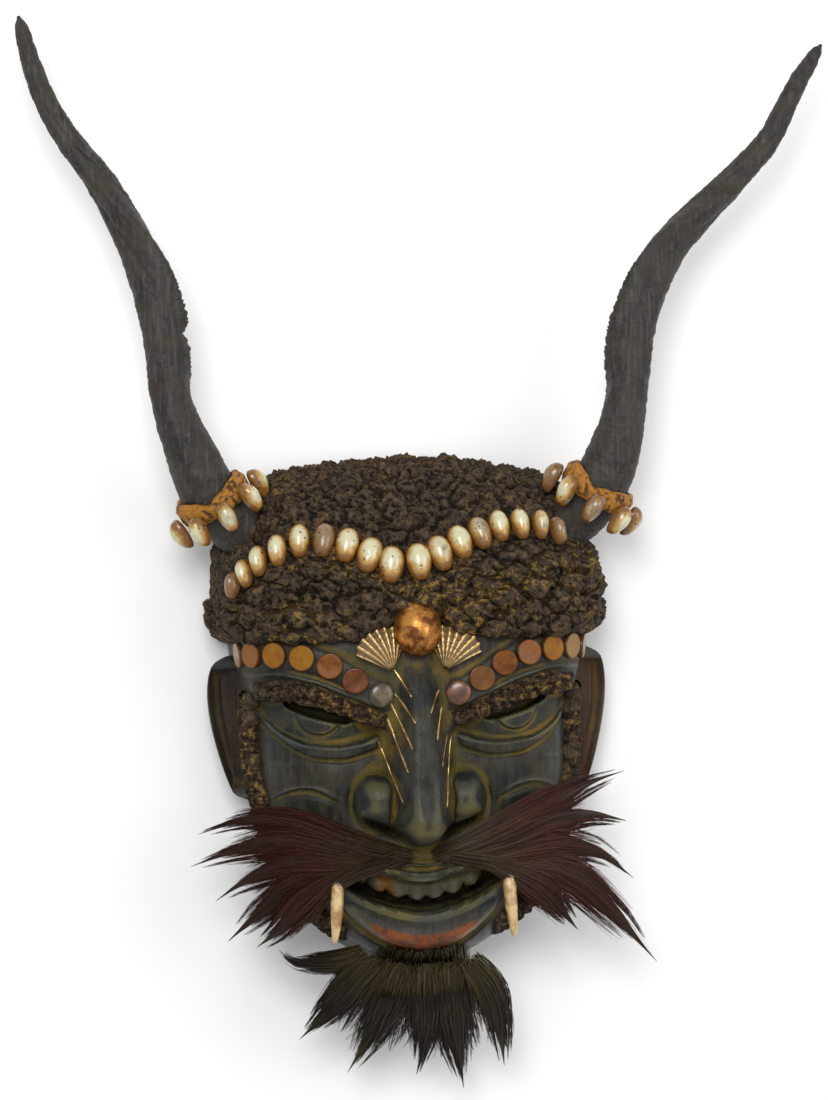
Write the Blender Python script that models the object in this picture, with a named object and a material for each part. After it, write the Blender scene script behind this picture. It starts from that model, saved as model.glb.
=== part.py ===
"""Horned shaman mask, lying on its back rim with the face up.

Metres. +Z runs out of the face, +Y runs from the chin to the crown, and x = 0 is the mask's middle
plane. The origin is on the flat back rim, at the middle of the chin. The wood is carved on a squared
grid: the carving functions take and give squares, and one square is a share of the mask's height,
width or depth.
"""

import math

import bpy
import bmesh
import numpy as np
from mathutils import Matrix, Vector

# Carved wood
MASK_HEIGHT = 0.300
MASK_WIDTH = 0.202
MASK_DEPTH = 0.080
HOLLOW_DEPTH = 0.052
RIM_WALL = 0.012
EAR_LENGTH = 0.088
EAR_WIDTH = 0.034
EAR_THICKNESS = 0.011

# Knotted hair of resin paste
CRUST_THICKNESS = 0.0065
CRUST_EDGE = 0.0035
KNOT_PITCH = 0.0128
CRUST_GAP = 0.0017
CRUST_ROWS = 20
CRUST_COLUMNS = 37
CRUST_REACH = 0.950
CRUST_SIDE = 0.915
KNOT_HEIGHT = 0.0048
EYEBROW_THICKNESS = 0.0045
SIDEBURN_WIDTH = 0.015
SIDEBURN_THICKNESS = 0.008

# Shells, discs and the boss
GARLAND_SHELLS = 17
SHELL_LENGTH = 0.0235
SHELL_WIDTH = 0.0118
SHELL_HEIGHT = 0.0095
SHELL_ROOM = 0.78
COLLAR_SHELLS = 5
COLLAR_SHELL_LENGTH = 0.0200
DISC_DIAMETER = 0.0156
DISC_THICKNESS = 0.0044
DISC_PITCH_LEFT = 0.0172
DISC_PITCH_RIGHT = 0.0163
DISCS_LEFT = 6
DISCS_RIGHT = 7
BEAD_DIAMETER = 0.0150
BOSS_WIDTH = 0.0285
BOSS_LENGTH = 0.0335
BOSS_HEIGHT = 0.0150
SCALLOP_LENGTH = 0.0270
SCALLOP_HEIGHT = 0.0065
SCALLOP_RIBS = 8
FANG_LENGTH = 0.042
FANG_DIAMETER = 0.0078

# Horns and their collars
HORN_THICKNESS = 0.036
COLLAR_THICKNESS = 0.0045
COLLAR_LENGTH = 0.013
COLLAR_PLACE = 0.112

# Hair tufts
LOCK_THICKNESS = 0.0070
LOCK_VOXEL = 0.0022

# How pieces meet, and how finely the solids are cut
CLEARANCE = 0.00035
SINK = 0.003
WOOD_DETAIL = 104
WOOD_KEPT = 0.048
TRIM_KEPT = 0.17

SQUARES_HIGH = 300.0
SQUARES_WIDE = 202.0
SQUARES_DEEP = 80.0
SQUARE = np.array([MASK_WIDTH / SQUARES_WIDE, MASK_HEIGHT / SQUARES_HIGH, MASK_DEPTH / SQUARES_DEEP])
CENTRE_Y = 150.0

# Rim outline: angle from the crown in degrees, and radius from the centre in squares
OUTLINE = [(0, 147), (20, 152), (33, 160), (50, 143), (70, 115), (90, 101), (115, 107), (135, 124),
           (152, 140), (166, 150), (180, 156)]
# How boxy the dome's profile is, by the same angle
BOXINESS = [(0, 2.4), (60, 3.1), (180, 3.0)]

# Curves of the face, in squares: distance from the middle plane, height above the chin
BROW_EDGE = [(0, 143), (24, 145), (40, 151.5), (60, 158.5), (80, 162), (96, 161.5), (110, 158)]
BROW_BAND = [(0, 158), (22, 165), (36, 173), (50, 182), (66, 188), (92, 190.5), (110, 189.5)]
BROW_LINE = [(0, 149), (24, 158), (42, 166), (62, 174), (86, 179), (104, 177)]
EYEBROW = [(0, 146), (18, 149.5), (35, 155), (51, 161.5), (66, 166.5), (80, 169), (104, 169)]
LOWER_LID = [(18, 143.5), (26, 141), (36, 138), (48, 136.5), (64, 138), (82, 145), (97, 157)]
EYE_BAG = [(18, 134), (30, 130), (46, 126.5), (60, 127.5), (74, 133), (90, 146), (100, 153)]
UPPER_LIP = [(0, 53), (20, 57), (35, 60), (45, 58), (50, 55)]
LOWER_LIP = [(0, 37.5), (15, 39.2), (30, 43.5), (42, 49.5), (50, 54.5)]
TOOTH_ENDS = [(0, 41), (12, 42.5), (24, 46), (36, 51), (50, 55)]
NOSE_CREST = [(70, 0), (75, 8), (80, 28), (86, 41), (94, 45), (104, 42), (130, 28), (165, 12), (184, 3)]
NOSE_TOP = [(74, 2), (82, 5), (90, 7), (110, 6), (140, 4), (170, 3)]
NOSE_SIDE = [(74, 10), (80, 16), (90, 23), (110, 25), (140, 22), (170, 18)]
LIP_PROFILE = [(0, 0), (0.09, 6), (0.30, 9.5), (0.42, 8.5), (0.60, 7), (0.95, 8), (1, 7)]
GARLAND = [(-98, 228), (-90, 238), (-78, 246), (-62, 252), (-40, 248), (-12, 237), (5, 239), (31, 249),
           (55, 257), (72, 258), (83, 254)]


def smooth(value, knots):
    """A smooth curve through the knots, level at both ends and with no overshoot between them."""
    x, y = np.array(knots, float).T
    rise = np.diff(y) / np.diff(x)
    slope = np.zeros(len(x))
    same = rise[:-1] * rise[1:] > 0
    slope[1:-1][same] = 2 / (1 / rise[:-1][same] + 1 / rise[1:][same])
    value = np.clip(value, x[0], x[-1])
    i = np.clip(np.searchsorted(x, value) - 1, 0, len(x) - 2)
    width = x[i + 1] - x[i]
    t = (value - x[i]) / width
    ends = y[i] * (1 + 2 * t) * (1 - t) ** 2 + y[i + 1] * t * t * (3 - 2 * t)
    return ends + width * t * (1 - t) * (slope[i] * (1 - t) - slope[i + 1] * t)


def ramp(value, low, high):
    """0 below low, 1 above high, and an S curve between them."""
    t = np.clip((value - low) / (high - low), 0, 1)
    return t * t * (3 - 2 * t)


def mound(x, y, centre, radii, power=2):
    """1 at the centre, falling to 0.37 at the radii."""
    along = np.abs((x - centre[0]) / radii[0]) ** power
    return np.exp(-along - np.abs((y - centre[1]) / radii[1]) ** power)


def crease(distance, width):
    """1 on a line, falling away over the width on both sides."""
    return np.exp(-(distance / width) ** 2)


def rim_share(x, y):
    """How far a point of the grid is from the centre, as a share of the way to the rim."""
    angle = np.degrees(np.abs(np.arctan2(x, y - CENTRE_Y)))
    return np.hypot(x, y - CENTRE_Y) / smooth(angle, OUTLINE), angle


def dome(share, angle, depth=SQUARES_DEEP):
    """The uncarved block: a superellipse from the rim up to the depth."""
    boxy = smooth(angle, BOXINESS)
    return depth * (1 - np.clip(share, 0, 1) ** boxy) ** (1 / boxy)


def eyes(ax, y):
    """Brow ledges, sockets, eyeballs with their iris, the slit above it and the lids below."""
    edge = smooth(ax, BROW_EDGE)
    lid = smooth(ax, LOWER_LID)
    bag = smooth(ax, EYE_BAG)
    beside = ramp(ax, 19, 28) * (1 - ramp(ax, 94, 101))
    soft = 1 - ramp(ax, 8, 24)
    ledge = 11 * ramp(y, edge - 2 - 34 * soft, edge + 3 + 12 * soft) * (1 - ramp(y, 186, 262)) * (1 - 0.55 * soft)
    inside = ramp(y, lid - 2, lid + 3) * (1 - ramp(y, edge - 1, edge + 2)) * beside
    ball = np.sqrt(np.clip(1 - ((ax - 60) / 42) ** 2 - ((y - 152) / 22) ** 2, 0, 1))
    from_iris = np.hypot(ax - 58.5, y - 155)
    iris = 1.6 * (1 - ramp(from_iris, 12, 13.2)) - 1.3 * crease(from_iris - 14, 1.1)
    slit_height = 6.5 * np.sqrt(np.clip(1 - ((ax - 59) / 20) ** 2, 0, 1))
    slit = ramp(y, edge - slit_height - 1, edge - slit_height + 1.5) * (slit_height > 0.5)
    socket = inside * (12 * ball - 9 + iris * (1 - slit) - 11 * slit)
    lids = 2.8 * crease(y - lid + 2.5, 2.4) + 2.4 * crease(y - bag - 3.5, 3.2) - 2.0 * crease(y - bag, 1.3)
    return ledge + socket + lids * beside


def nose(ax, y):
    """Straight crest, rounded wings and the nostril slits under them."""
    top = smooth(y, NOSE_TOP)
    side = smooth(y, NOSE_SIDE)
    crest = smooth(y, NOSE_CREST) * (1 - ramp(ax, top * 0.7, side)) * ramp(y, 70, 77)
    wing = 20 * mound(ax, y, (25, 103), (11, 14), 3.2)
    under = 80 + 0.45 * (ax - 10)
    slit = 11 * crease(y - under, 2.4) * ramp(ax, 7, 13) * (1 - ramp(ax, 30, 37))
    return np.maximum(crest, wing) - slit - 2.5 * crease(np.hypot((ax - 25.5) / 1.1, (y - 102) / 1.35) - 14, 2)


def mouth(x, y):
    """Snarling lips, the row of teeth behind the upper one, the broad lower lip and the chin."""
    ax = np.abs(x)
    upper = smooth(ax, UPPER_LIP)
    lower = smooth(ax, LOWER_LIP)
    base = 12.5 + 0.011 * ax ** 2
    inside = ramp(y, lower - 1.4, lower + 1) * (1 - ramp(y, upper - 1, upper + 1.4)) * (1 - ramp(ax, 47, 51))
    lobe = np.abs(np.cos(np.pi * (x + 4) / 11.5))
    ends = smooth(ax, TOOTH_ENDS) + 3.2 * (1 - lobe ** 0.6)
    teeth = (17 + 3 * lobe) * ramp(y, ends - 1.2, ends + 2) * (1 - ramp(ax, 36, 40))
    share = (y - base) / np.maximum(lower - base, 1)
    lip = smooth(share, LIP_PROFILE) * (share > 0) * (share <= 1.02) * (1 - ramp(ax, 42, 51))
    folds = 1.3 * np.cos((y - 0.006 * ax ** 2 - 59) * 1.25) * mound(ax, y, (0, 62), (34, 9), 4)
    muzzle = 14 * mound(ax, y, (0, 40), (60, 42), 3)
    chin = 15 * mound(ax, y, (0, 13), (38, 24), 2.4)
    above = 4 * crease(y - upper - 4, 3.6) * (1 - ramp(ax, 40, 54))
    below = 2.5 * crease(y - base + 2, 2) * (1 - ramp(ax, 36, 48))
    return muzzle + chin + above - below + folds + lip * (1 - inside) - inside * (23 - teeth)


def cheeks(ax, y):
    """Cheek mounds, creases, jowls and the squared edge where the face turns back."""
    mounds = 5 * mound(ax, y, (60, 117), (30, 17)) + 7 * mound(ax, y, (73, 48), (17, 24), 3)
    short = 1.5 * crease(y - 125, 1.5) * ramp(ax, 70, 78)
    arc = y - 111 + 0.02 * (ax - 68) ** 2
    smile = (1.8 * crease(arc, 1.4) - 2.2 * crease(arc + 3, 2.4)) * mound(ax, y, (68, 110), (18, 14), 4)
    fold = 3 * crease(ax - 59, 2.6) * ramp(y, 20, 30) * (1 - ramp(y, 48, 58))
    turn = 9 * ramp(ax, 86, 96) * ramp(y, 50, 66) * (1 - ramp(y, 150, 158))
    return mounds + short + smile - fold - turn


def band(ax, y):
    """The raised band that the discs sit on, and the thin ridge below it."""
    raised = 2.6 * np.exp(-((y - smooth(ax, BROW_BAND)) / 8.5) ** 6) * ramp(ax, 12, 20)
    return raised + 1.8 * crease(y - smooth(ax, BROW_LINE), 1.7) * ramp(ax, 20, 30)


def carved_height(x, y):
    """Height of the carved wood above the back rim, in squares."""
    share, angle = rim_share(x, y)
    ax = np.abs(x)
    relief = eyes(ax, y) + nose(ax, y) + mouth(x, y) + cheeks(ax, y) + band(ax, y)
    return dome(share, angle) + relief * (1 - ramp(share, 0.93, 1.0))


def disc_grid(count):
    """Shares and angles of a square grid wrapped onto a round one, evenly spaced over the dome."""
    side = np.linspace(-1, 1, count + 1)
    a, b = np.meshgrid(side, side, indexing="ij")
    wide = np.abs(a) > np.abs(b)
    ring = np.where(wide, a, b)
    with np.errstate(divide="ignore", invalid="ignore"):
        turn = np.where(wide, math.pi / 4 * b / a, math.pi / 2 - math.pi / 4 * a / b)
    turn = np.nan_to_num(turn)
    fine = np.linspace(0, math.pi / 2, 2000)
    share = np.sin(fine) ** 0.7
    height = 0.7 * np.cos(fine) ** 0.7
    length = np.concatenate([[0], np.cumsum(np.hypot(np.diff(share), np.diff(height)))])
    facing = np.where(ring < 0, -1, 1)
    return np.interp(np.abs(ring) * length[-1], length, share), np.cos(turn) * facing, np.sin(turn) * facing


def wood_grids(count):
    """The outer and the inner face of the wood, as two grids of points in metres."""
    share, across, up = disc_grid(count)
    angle = np.degrees(np.abs(np.arctan2(across, up)))
    reach = smooth(angle, OUTLINE)
    x, y = share * reach * across, CENTRE_Y + share * reach * up
    relief = carved_height(x, y) - dome(*rim_share(x, y))
    outer = np.stack([x, y, dome(share, angle) + relief], -1) * SQUARE
    direction = np.stack([across, up], -1) * SQUARE[:2]
    wall = RIM_WALL / np.linalg.norm(direction, axis=-1, keepdims=True)
    middle = np.array([0, CENTRE_Y]) * SQUARE[:2]
    flat = middle + share[..., None] * direction * (reach[..., None] - wall)
    inner = np.concatenate([flat, dome(share, angle, 1)[..., None] * HOLLOW_DEPTH], -1)
    outer[..., 2] = np.where(share > 0.9999, -SINK, outer[..., 2])
    inner[..., 2] = np.where(share > 0.9999, -SINK, inner[..., 2])
    return outer, inner


def on_wood(x, y, lift=0.0):
    """Point and outward normal of the wood at grid position (x, y), lifted off it by some metres."""
    step = 1.5
    px, py = np.array([x - step, x + step, x, x]), np.array([y, y, y - step, y + step])
    z = carved_height(px, py)
    along_x = np.array([2 * step, 0, z[1] - z[0]]) * SQUARE
    along_y = np.array([0, 2 * step, z[3] - z[2]]) * SQUARE
    normal = np.cross(along_x, along_y)
    normal /= np.linalg.norm(normal)
    return np.array([x, y, carved_height(np.array([x]), np.array([y]))[0]]) * SQUARE + normal * lift, normal


def on_block(x, y, lift=0.0):
    """The same with the slope taken over a wider step, for pieces that lie on the head as a whole."""
    step = 4.0
    px, py = np.array([x - step, x + step, x, x, x]), np.array([y, y, y - step, y + step, y])
    z = carved_height(px, py)
    along_x = np.array([2 * step, 0, z[1] - z[0]]) * SQUARE
    along_y = np.array([0, 2 * step, z[3] - z[2]]) * SQUARE
    normal = np.cross(along_x, along_y)
    normal /= np.linalg.norm(normal)
    return np.array([x, y, z[4]]) * SQUARE + normal * lift, normal


def material(name, colour, roughness, metallic=0.0):
    made = bpy.data.materials.new(name)
    made.use_nodes = True
    shader = made.node_tree.nodes["Principled BSDF"]
    shader.inputs["Base Color"].default_value = (*colour, 1)
    shader.inputs["Roughness"].default_value = roughness
    shader.inputs["Metallic"].default_value = metallic
    return made


def add(name, mesh_points, faces, finish, smooth_angle=40):
    """A named closed mesh object, with its faces turned outwards."""
    mesh = bpy.data.meshes.new(name)
    mesh.from_pydata([tuple(p) for p in mesh_points], [], faces)
    turned = bmesh.new()
    turned.from_mesh(mesh)
    bmesh.ops.remove_doubles(turned, verts=turned.verts, dist=1e-6)
    bmesh.ops.recalc_face_normals(turned, faces=turned.faces)
    turned.to_mesh(mesh)
    turned.free()
    mesh.shade_smooth()
    mesh.set_sharp_from_angle(angle=math.radians(smooth_angle))
    mesh.materials.append(finish)
    made = bpy.data.objects.new(name, mesh)
    bpy.context.scene.collection.objects.link(made)
    return made


def slab(top, bottom):
    """Points and faces of the closed body between two grids of the same size."""
    rows, columns = top.shape[:2]
    points = np.concatenate([top.reshape(-1, 3), bottom.reshape(-1, 3)])
    index = np.arange(rows * columns).reshape(rows, columns)
    cells = np.stack([index[:-1, :-1], index[1:, :-1], index[1:, 1:], index[:-1, 1:]], -1).reshape(-1, 4)
    edge = np.concatenate([index[0, :], index[1:, -1], index[-1, -2::-1], index[-2:0:-1, 0]])
    after = np.roll(edge, -1)
    under = rows * columns
    walls = np.stack([edge, after, after + under, edge + under], -1)
    faces = np.concatenate([cells, cells[:, ::-1] + under, walls])
    return points, faces.tolist()


def tube(rings):
    """Points and faces of a closed body through a stack of rings of points."""
    count, sides = rings.shape[:2]
    index = np.arange(count * sides).reshape(count, sides)
    beside = np.roll(index, -1, axis=1)
    cells = np.stack([index[:-1], beside[:-1], beside[1:], index[1:]], -1).reshape(-1, 4)
    faces = cells.tolist() + [index[0, ::-1].tolist(), index[-1].tolist()]
    return rings.reshape(-1, 3), faces


def turned_frame(normal, up):
    """Rotation whose z axis is the normal and whose y axis leans towards up."""
    z = Vector(normal).normalized()
    x = Vector(up).cross(z).normalized()
    return Matrix((x, z.cross(x), z)).transposed().to_4x4()


def place(obj, point, normal, up=(0, 1, 0), turn=0.0):
    obj.matrix_world = Matrix.Translation(Vector(point)) @ turned_frame(normal, up) @ Matrix.Rotation(turn, 4, "Z")
    return obj


def cutter(source, name, swell=CLEARANCE):
    """A hidden copy of a piece before its own cuts, swollen by the clearance, that cuts its neighbours."""
    made = source.copy()
    for own_cut in [modifier for modifier in made.modifiers if modifier.type == "BOOLEAN"]:
        made.modifiers.remove(own_cut)
    made.name = name
    made.hide_render = True
    made.display_type = "WIRE"
    bpy.context.scene.collection.objects.link(made)
    swelling = made.modifiers.new("swell", "DISPLACE")
    swelling.mid_level = 0
    swelling.strength = swell
    return made


def cut(target, tools, name):
    """Cuts one or several tools out of the target."""
    modifier = target.modifiers.new(name, "BOOLEAN")
    modifier.operation = "DIFFERENCE"
    if len(tools) == 1:
        modifier.object = tools[0]
        return
    group = bpy.data.collections.new(name)
    bpy.context.scene.collection.children.link(group)
    group.hide_render = True
    for tool in tools:
        group.objects.link(tool)
    modifier.operand_type = "COLLECTION"
    modifier.collection = group


def thin_out(obj, kept, mirrored=False):
    modifier = obj.modifiers.new("fewer_faces", "DECIMATE")
    modifier.ratio = kept
    modifier.use_symmetry = mirrored
    return obj


def ear(side, finish):
    """A leaf shaped ear with a raised edge, facing out and forward from the side of the head."""
    rows, columns = 11, 7
    v, u = np.meshgrid(np.linspace(-1, 1, rows), np.linspace(-1, 1, columns), indexing="ij")
    half = np.sqrt(np.clip(1 - v ** 2, 0.0, 1)) * (1 + 0.38 * v)
    x = u * half * EAR_WIDTH / 2
    y = v * EAR_LENGTH / 2
    edge = np.clip(np.maximum(np.abs(u), np.abs(v)), 0, 1)
    front = EAR_THICKNESS * (0.42 + 0.35 * mound(edge, 0 * edge, (0.7, 0), (0.16, 1)) - 0.30 * ramp(edge, 0.86, 1))
    back = -EAR_THICKNESS * 0.45 * (1 - edge ** 3)
    front = np.where(half > 0, front, 0)
    made = add(f"ear_{side}_shape", *slab(np.stack([x, y, front], -1), np.stack([x, y, back], -1)), finish)
    sign = -1 if side == "left" else 1
    centre = np.array([sign * 104.5, 145, 27]) * SQUARE
    place(made, centre, (sign * 0.62, -0.05, 0.80), up=(sign * 0.10, 1, 0))
    made.hide_render = True
    made.display_type = "WIRE"
    return made


def carved_mask(finish):
    """The hollow carved wood, its ears joined on and its back rim cut flat."""
    outer, inner = wood_grids(WOOD_DETAIL)
    wood = thin_out(add("carved_mask", *slab(outer, inner), finish), WOOD_KEPT, mirrored=True)
    for side in ("left", "right"):
        joined = wood.modifiers.new(f"ear_{side}", "BOOLEAN")
        joined.operation = "UNION"
        joined.object = ear(side, finish)
    table = bpy.data.meshes.new("table")
    shape = bmesh.new()
    bmesh.ops.create_cube(shape, size=1)
    bmesh.ops.scale(shape, vec=(2 * MASK_WIDTH, 2 * MASK_HEIGHT, 4 * SINK), verts=shape.verts)
    bmesh.ops.translate(shape, vec=(0, MASK_HEIGHT / 2, -2 * SINK), verts=shape.verts)
    shape.to_mesh(table)
    shape.free()
    below = bpy.data.objects.new("table_cut", table)
    below.hide_render = True
    below.display_type = "WIRE"
    bpy.context.scene.collection.objects.link(below)
    cut(wood, [below], "flat_rim")
    return wood


def knot_centres(points):
    """Places for knots: along the rows of a grid, each a pitch away from all those before it."""
    chosen = np.empty((0, 3))
    for row in points:
        for point in row:
            if len(chosen) == 0 or np.min(np.sum((chosen - point) ** 2, axis=1)) >= KNOT_PITCH ** 2:
                chosen = np.vstack([chosen, point])
    return chosen


def knotted(points, normals, height):
    """Points pushed out along their normals into rounded knots."""
    centres = knot_centres(points[1:-1, 1:-1][::2, ::2])
    flat = points.reshape(-1, 3)
    nearest = np.sqrt(np.min(((flat[:, None] - centres[None]) ** 2).sum(-1), axis=1)).reshape(points.shape[:2])
    rise = np.sqrt(np.clip(1 - (nearest / (0.62 * KNOT_PITCH)) ** 2, 0, 1))
    return points + normals * (rise * height)[..., None]


def crown_grid(a, b):
    """Points of the head in squares and the dome's normals, for places on a square bent onto the disc."""
    across = a * np.sqrt(1 - b ** 2 / 2)
    up = b * np.sqrt(1 - a ** 2 / 2)
    out = np.maximum(np.hypot(across, up), 1e-9)
    spread = disc_grid(400)[0][200:, 200]
    share = np.interp(out, np.linspace(0, 1, len(spread)), spread)
    angle = np.degrees(np.abs(np.arctan2(across, up)))
    reach = smooth(angle, OUTLINE)
    height = dome(share, angle)
    boxy = smooth(angle, BOXINESS) - 1
    leaning = share ** boxy / reach
    rising = (height / SQUARES_DEEP) ** boxy / SQUARES_DEEP
    normal = np.stack([leaning * across / out, leaning * up / out, rising], -1) / SQUARE
    normal /= np.linalg.norm(normal, axis=-1, keepdims=True)
    x, y = share * reach * across / out, CENTRE_Y + share * reach * up / out
    return np.stack([x, y, carved_height(x, y)], -1), normal


def crust_rows(a, count):
    """For each column, the rows of the crust from the hairline to just above the back rim."""
    b = np.linspace(0, 1, 800)[:, None]
    tried, _ = crown_grid(a[None] + 0 * b, b + 0 * a[None])
    hairline = 197 + 14 * np.exp(-(tried[..., 0] / 32) ** 2)
    first = b[np.argmax(tried[..., 1] > hairline, axis=0), 0]
    last = np.sqrt(1 - (1 - CRUST_REACH ** 2) / (1 - a ** 2))
    return first[None] + (last - first)[None] * np.linspace(0, 1, count)[:, None]


def hair_crust(finish):
    """The paste over the crown: a triangle lattice in which every third point is a raised knot."""
    rows, columns = CRUST_ROWS, CRUST_COLUMNS
    row, column = np.meshgrid(np.arange(rows), np.arange(columns), indexing="ij")
    step_across = np.linspace(-CRUST_SIDE, CRUST_SIDE, columns)
    shift = (step_across[1] - step_across[0]) / 4
    a = step_across[None] + np.where(row % 2 == 1, shift, -shift)
    b = np.stack([crust_rows(a[i], rows)[i] for i in range(rows)])
    squares, normals = crown_grid(a, b)
    ground = squares * SQUARE
    inner = (row > 0) & (row < rows - 1) & (column > 0) & (column < columns - 1)
    off_garland = squares[..., 1] - smooth(squares[..., 0], GARLAND)
    bare = np.exp(-(off_garland / 12.5) ** 6)
    knot = ((column - row // 2 - row) % 3 == 0) & inner
    lift = CRUST_EDGE + (CRUST_THICKNESS - CRUST_EDGE) * inner + KNOT_HEIGHT * knot * (1 - bare)
    near_edge = (row < 3) | (row > rows - 4) | (column < 3) | (column > columns - 4)
    gap = CRUST_GAP * (1 + near_edge)
    points, faces = slab(ground + normals * (lift + gap)[..., None], ground + normals * gap[..., None])
    return add("hair_crust", points, lattice_faces(rows, columns, faces), finish, 25)


def lattice_faces(rows, columns, faces):
    """The slab's faces, with the upper ones split along the short side of the staggered lattice."""
    index = np.arange(rows * columns).reshape(rows, columns)
    low, right = index[:-1, :-1], index[:-1, 1:]
    up, across = index[1:, :-1], index[1:, 1:]
    even = (np.arange(rows - 1) % 2 == 0)[:, None] & (low >= 0)
    first = np.where(even[..., None], np.stack([low, right, up], -1), np.stack([low, right, across], -1))
    second = np.where(even[..., None], np.stack([right, across, up], -1), np.stack([low, across, up], -1))
    split = np.concatenate([first.reshape(-1, 3), second.reshape(-1, 3)])
    return split.tolist() + faces[low.size:]


def strip(name, ground_at, middle, half_width, thickness, finish):
    """A knotted strip of paste on the wood, along a line of grid positions."""
    count, across = len(middle), 9
    points, normals = zip(*[ground_at(*p) for p in middle])
    points, normals = np.array(points), np.array(normals)
    ahead = np.gradient(points, axis=0)
    beside = np.cross(normals, ahead)
    beside /= np.linalg.norm(beside, axis=1, keepdims=True)
    u = np.linspace(-1, 1, across)
    ground = points[:, None] + beside[:, None] * (u[None, :] * half_width[:, None])[..., None]
    lift = normals[:, None] * np.ones((1, across, 1))
    ends = np.sqrt(np.clip(1 - np.linspace(-1, 1, count) ** 8, 0, 1))[:, None]
    crown = np.sqrt(np.clip(1 - 0.9 * u[None] ** 4, 0, 1)) * ends
    top = knotted(ground + lift * (crown * thickness)[..., None], lift, crown * KNOT_HEIGHT * 0.8)
    return thin_out(add(name, *slab(top, ground - lift * 2.2 * SINK), finish), TRIM_KEPT)


def eyebrow(side, finish):
    sign = -1 if side == "left" else 1
    ax = np.linspace(20, 95, 30)
    middle = [(sign * a, b) for a, b in zip(ax, smooth(ax, EYEBROW))]
    half = np.interp(ax, [20, 50, 80, 95], [3.5, 5.2, 6.2, 6.0]) * SQUARE[1]
    return strip(f"eyebrow_{side}", on_wood, middle, half, EYEBROW_THICKNESS, finish)


def sideburn(side, finish):
    """Knots from in front of the ear down to the jaw, just outside the edge of the face."""
    sign = -1 if side == "left" else 1
    angle = np.linspace(80, 161, 44)
    share = np.interp(angle, [80, 100, 130, 161], [0.955, 0.955, 0.95, 0.93])
    reach = smooth(angle, OUTLINE) * share
    middle = [(sign * r * math.sin(math.radians(a)), CENTRE_Y + r * math.cos(math.radians(a)))
              for a, r in zip(angle, reach)]
    half = np.full(len(angle), SIDEBURN_WIDTH / 2)
    return strip(f"sideburn_{side}", on_block, middle, half, SIDEBURN_THICKNESS, finish)


def cowrie(name, length, width, height, finish):
    """An egg shaped shell, domed above and flattened below, with its long axis along y."""
    turn = np.linspace(0, 2 * math.pi, 7, endpoint=False) + math.pi / 2
    level = np.array([-0.95, -0.60, 0.08, 0.70, 0.96])
    radius = np.sqrt(1 - level ** 2) * (1 + 0.12 * level)
    x = radius[:, None] * np.cos(turn) * width / 2
    z = radius[:, None] * np.sin(turn)
    z = np.where(z > 0, z * height * 0.72, z * height * 0.28)
    y = np.repeat(level[:, None] * length / 2, len(turn), axis=1)
    points, faces = tube(np.stack([x, y, z], -1))
    return add(name, points, faces, finish, 60)


def garland(finish):
    """Shells side by side on the hair, evenly spaced along the garland's line."""
    line = np.linspace(GARLAND[0][0], GARLAND[-1][0], 300)
    points = np.array([on_block(x, y)[0] for x, y in zip(line, smooth(line, GARLAND))])
    length = np.concatenate([[0], np.cumsum(np.linalg.norm(np.diff(points, axis=0), axis=1))])
    sizes = 1 - 0.26 * (np.abs(np.linspace(0, 1, GARLAND_SHELLS) - 0.52) / 0.52) ** 1.5
    reached = np.concatenate([[0], np.cumsum(sizes[1:] ** 2 + sizes[:-1] ** 2)])
    shells = []
    for i in range(GARLAND_SHELLS):
        x = np.interp(length[-1] * reached[i] / reached[-1], length, line)
        size = sizes[i]
        room = SHELL_ROOM * 2 * size ** 2 * length[-1] / reached[-1]
        point, normal = on_block(x, smooth(x, GARLAND), CRUST_THICKNESS + CRUST_GAP + 0.28 * SHELL_HEIGHT + CLEARANCE)
        made = cowrie(f"garland_shell_{i + 1:02d}", SHELL_LENGTH * size, room, SHELL_HEIGHT, finish)
        ahead = on_block(x + 1, smooth(x + 1, GARLAND))[0] - on_block(x - 1, smooth(x - 1, GARLAND))[0]
        square_to_line = np.cross(normal, ahead / np.linalg.norm(ahead))
        lean = math.radians(6 * math.tanh(x / 35) + 3 * math.sin(7.0 * i))
        shells.append(place(made, point, normal, up=square_to_line + (0, 1.8, 0), turn=lean))
    return shells


def brow_discs(finishes):
    """Thin discs along both brow bands, and a dark bead at the inner end of each."""
    made = []
    for side, count, pitch in (("left", DISCS_LEFT, DISC_PITCH_LEFT), ("right", DISCS_RIGHT, DISC_PITCH_RIGHT)):
        sign = -1 if side == "left" else 1
        line = np.linspace(23, 107, 200)
        points = np.array([on_wood(sign * a, b)[0] for a, b in zip(line, smooth(line, BROW_BAND))])
        length = np.concatenate([[0], np.cumsum(np.linalg.norm(np.diff(points, axis=0), axis=1))])
        for i in range(count + 1):
            a = np.interp(i * pitch, length, line)
            point, normal = on_wood(sign * a, float(smooth(a, BROW_BAND)), -DISC_THICKNESS * 0.40)
            bead = i == 0
            name = f"brow_bead_{side}" if bead else f"brow_disc_{side}_{i}"
            radius = (BEAD_DIAMETER if bead else DISC_DIAMETER) / 2
            turn = np.linspace(0, 2 * math.pi, 12, endpoint=False)
            levels = [(0, 1), (DISC_THICKNESS, 0.97)]
            if bead:
                levels = [(0, 1), (DISC_THICKNESS * 0.7, 1), (DISC_THICKNESS * 1.3, 0.62)]
            rings = np.array([[(r * radius * math.cos(t), r * radius * math.sin(t), z) for t in turn] for z, r in levels])
            piece = add(name, *tube(rings), finishes["dark_bead" if bead else "amber_disc"], 30)
            made.append(place(piece, point, normal))
    return made


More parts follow.
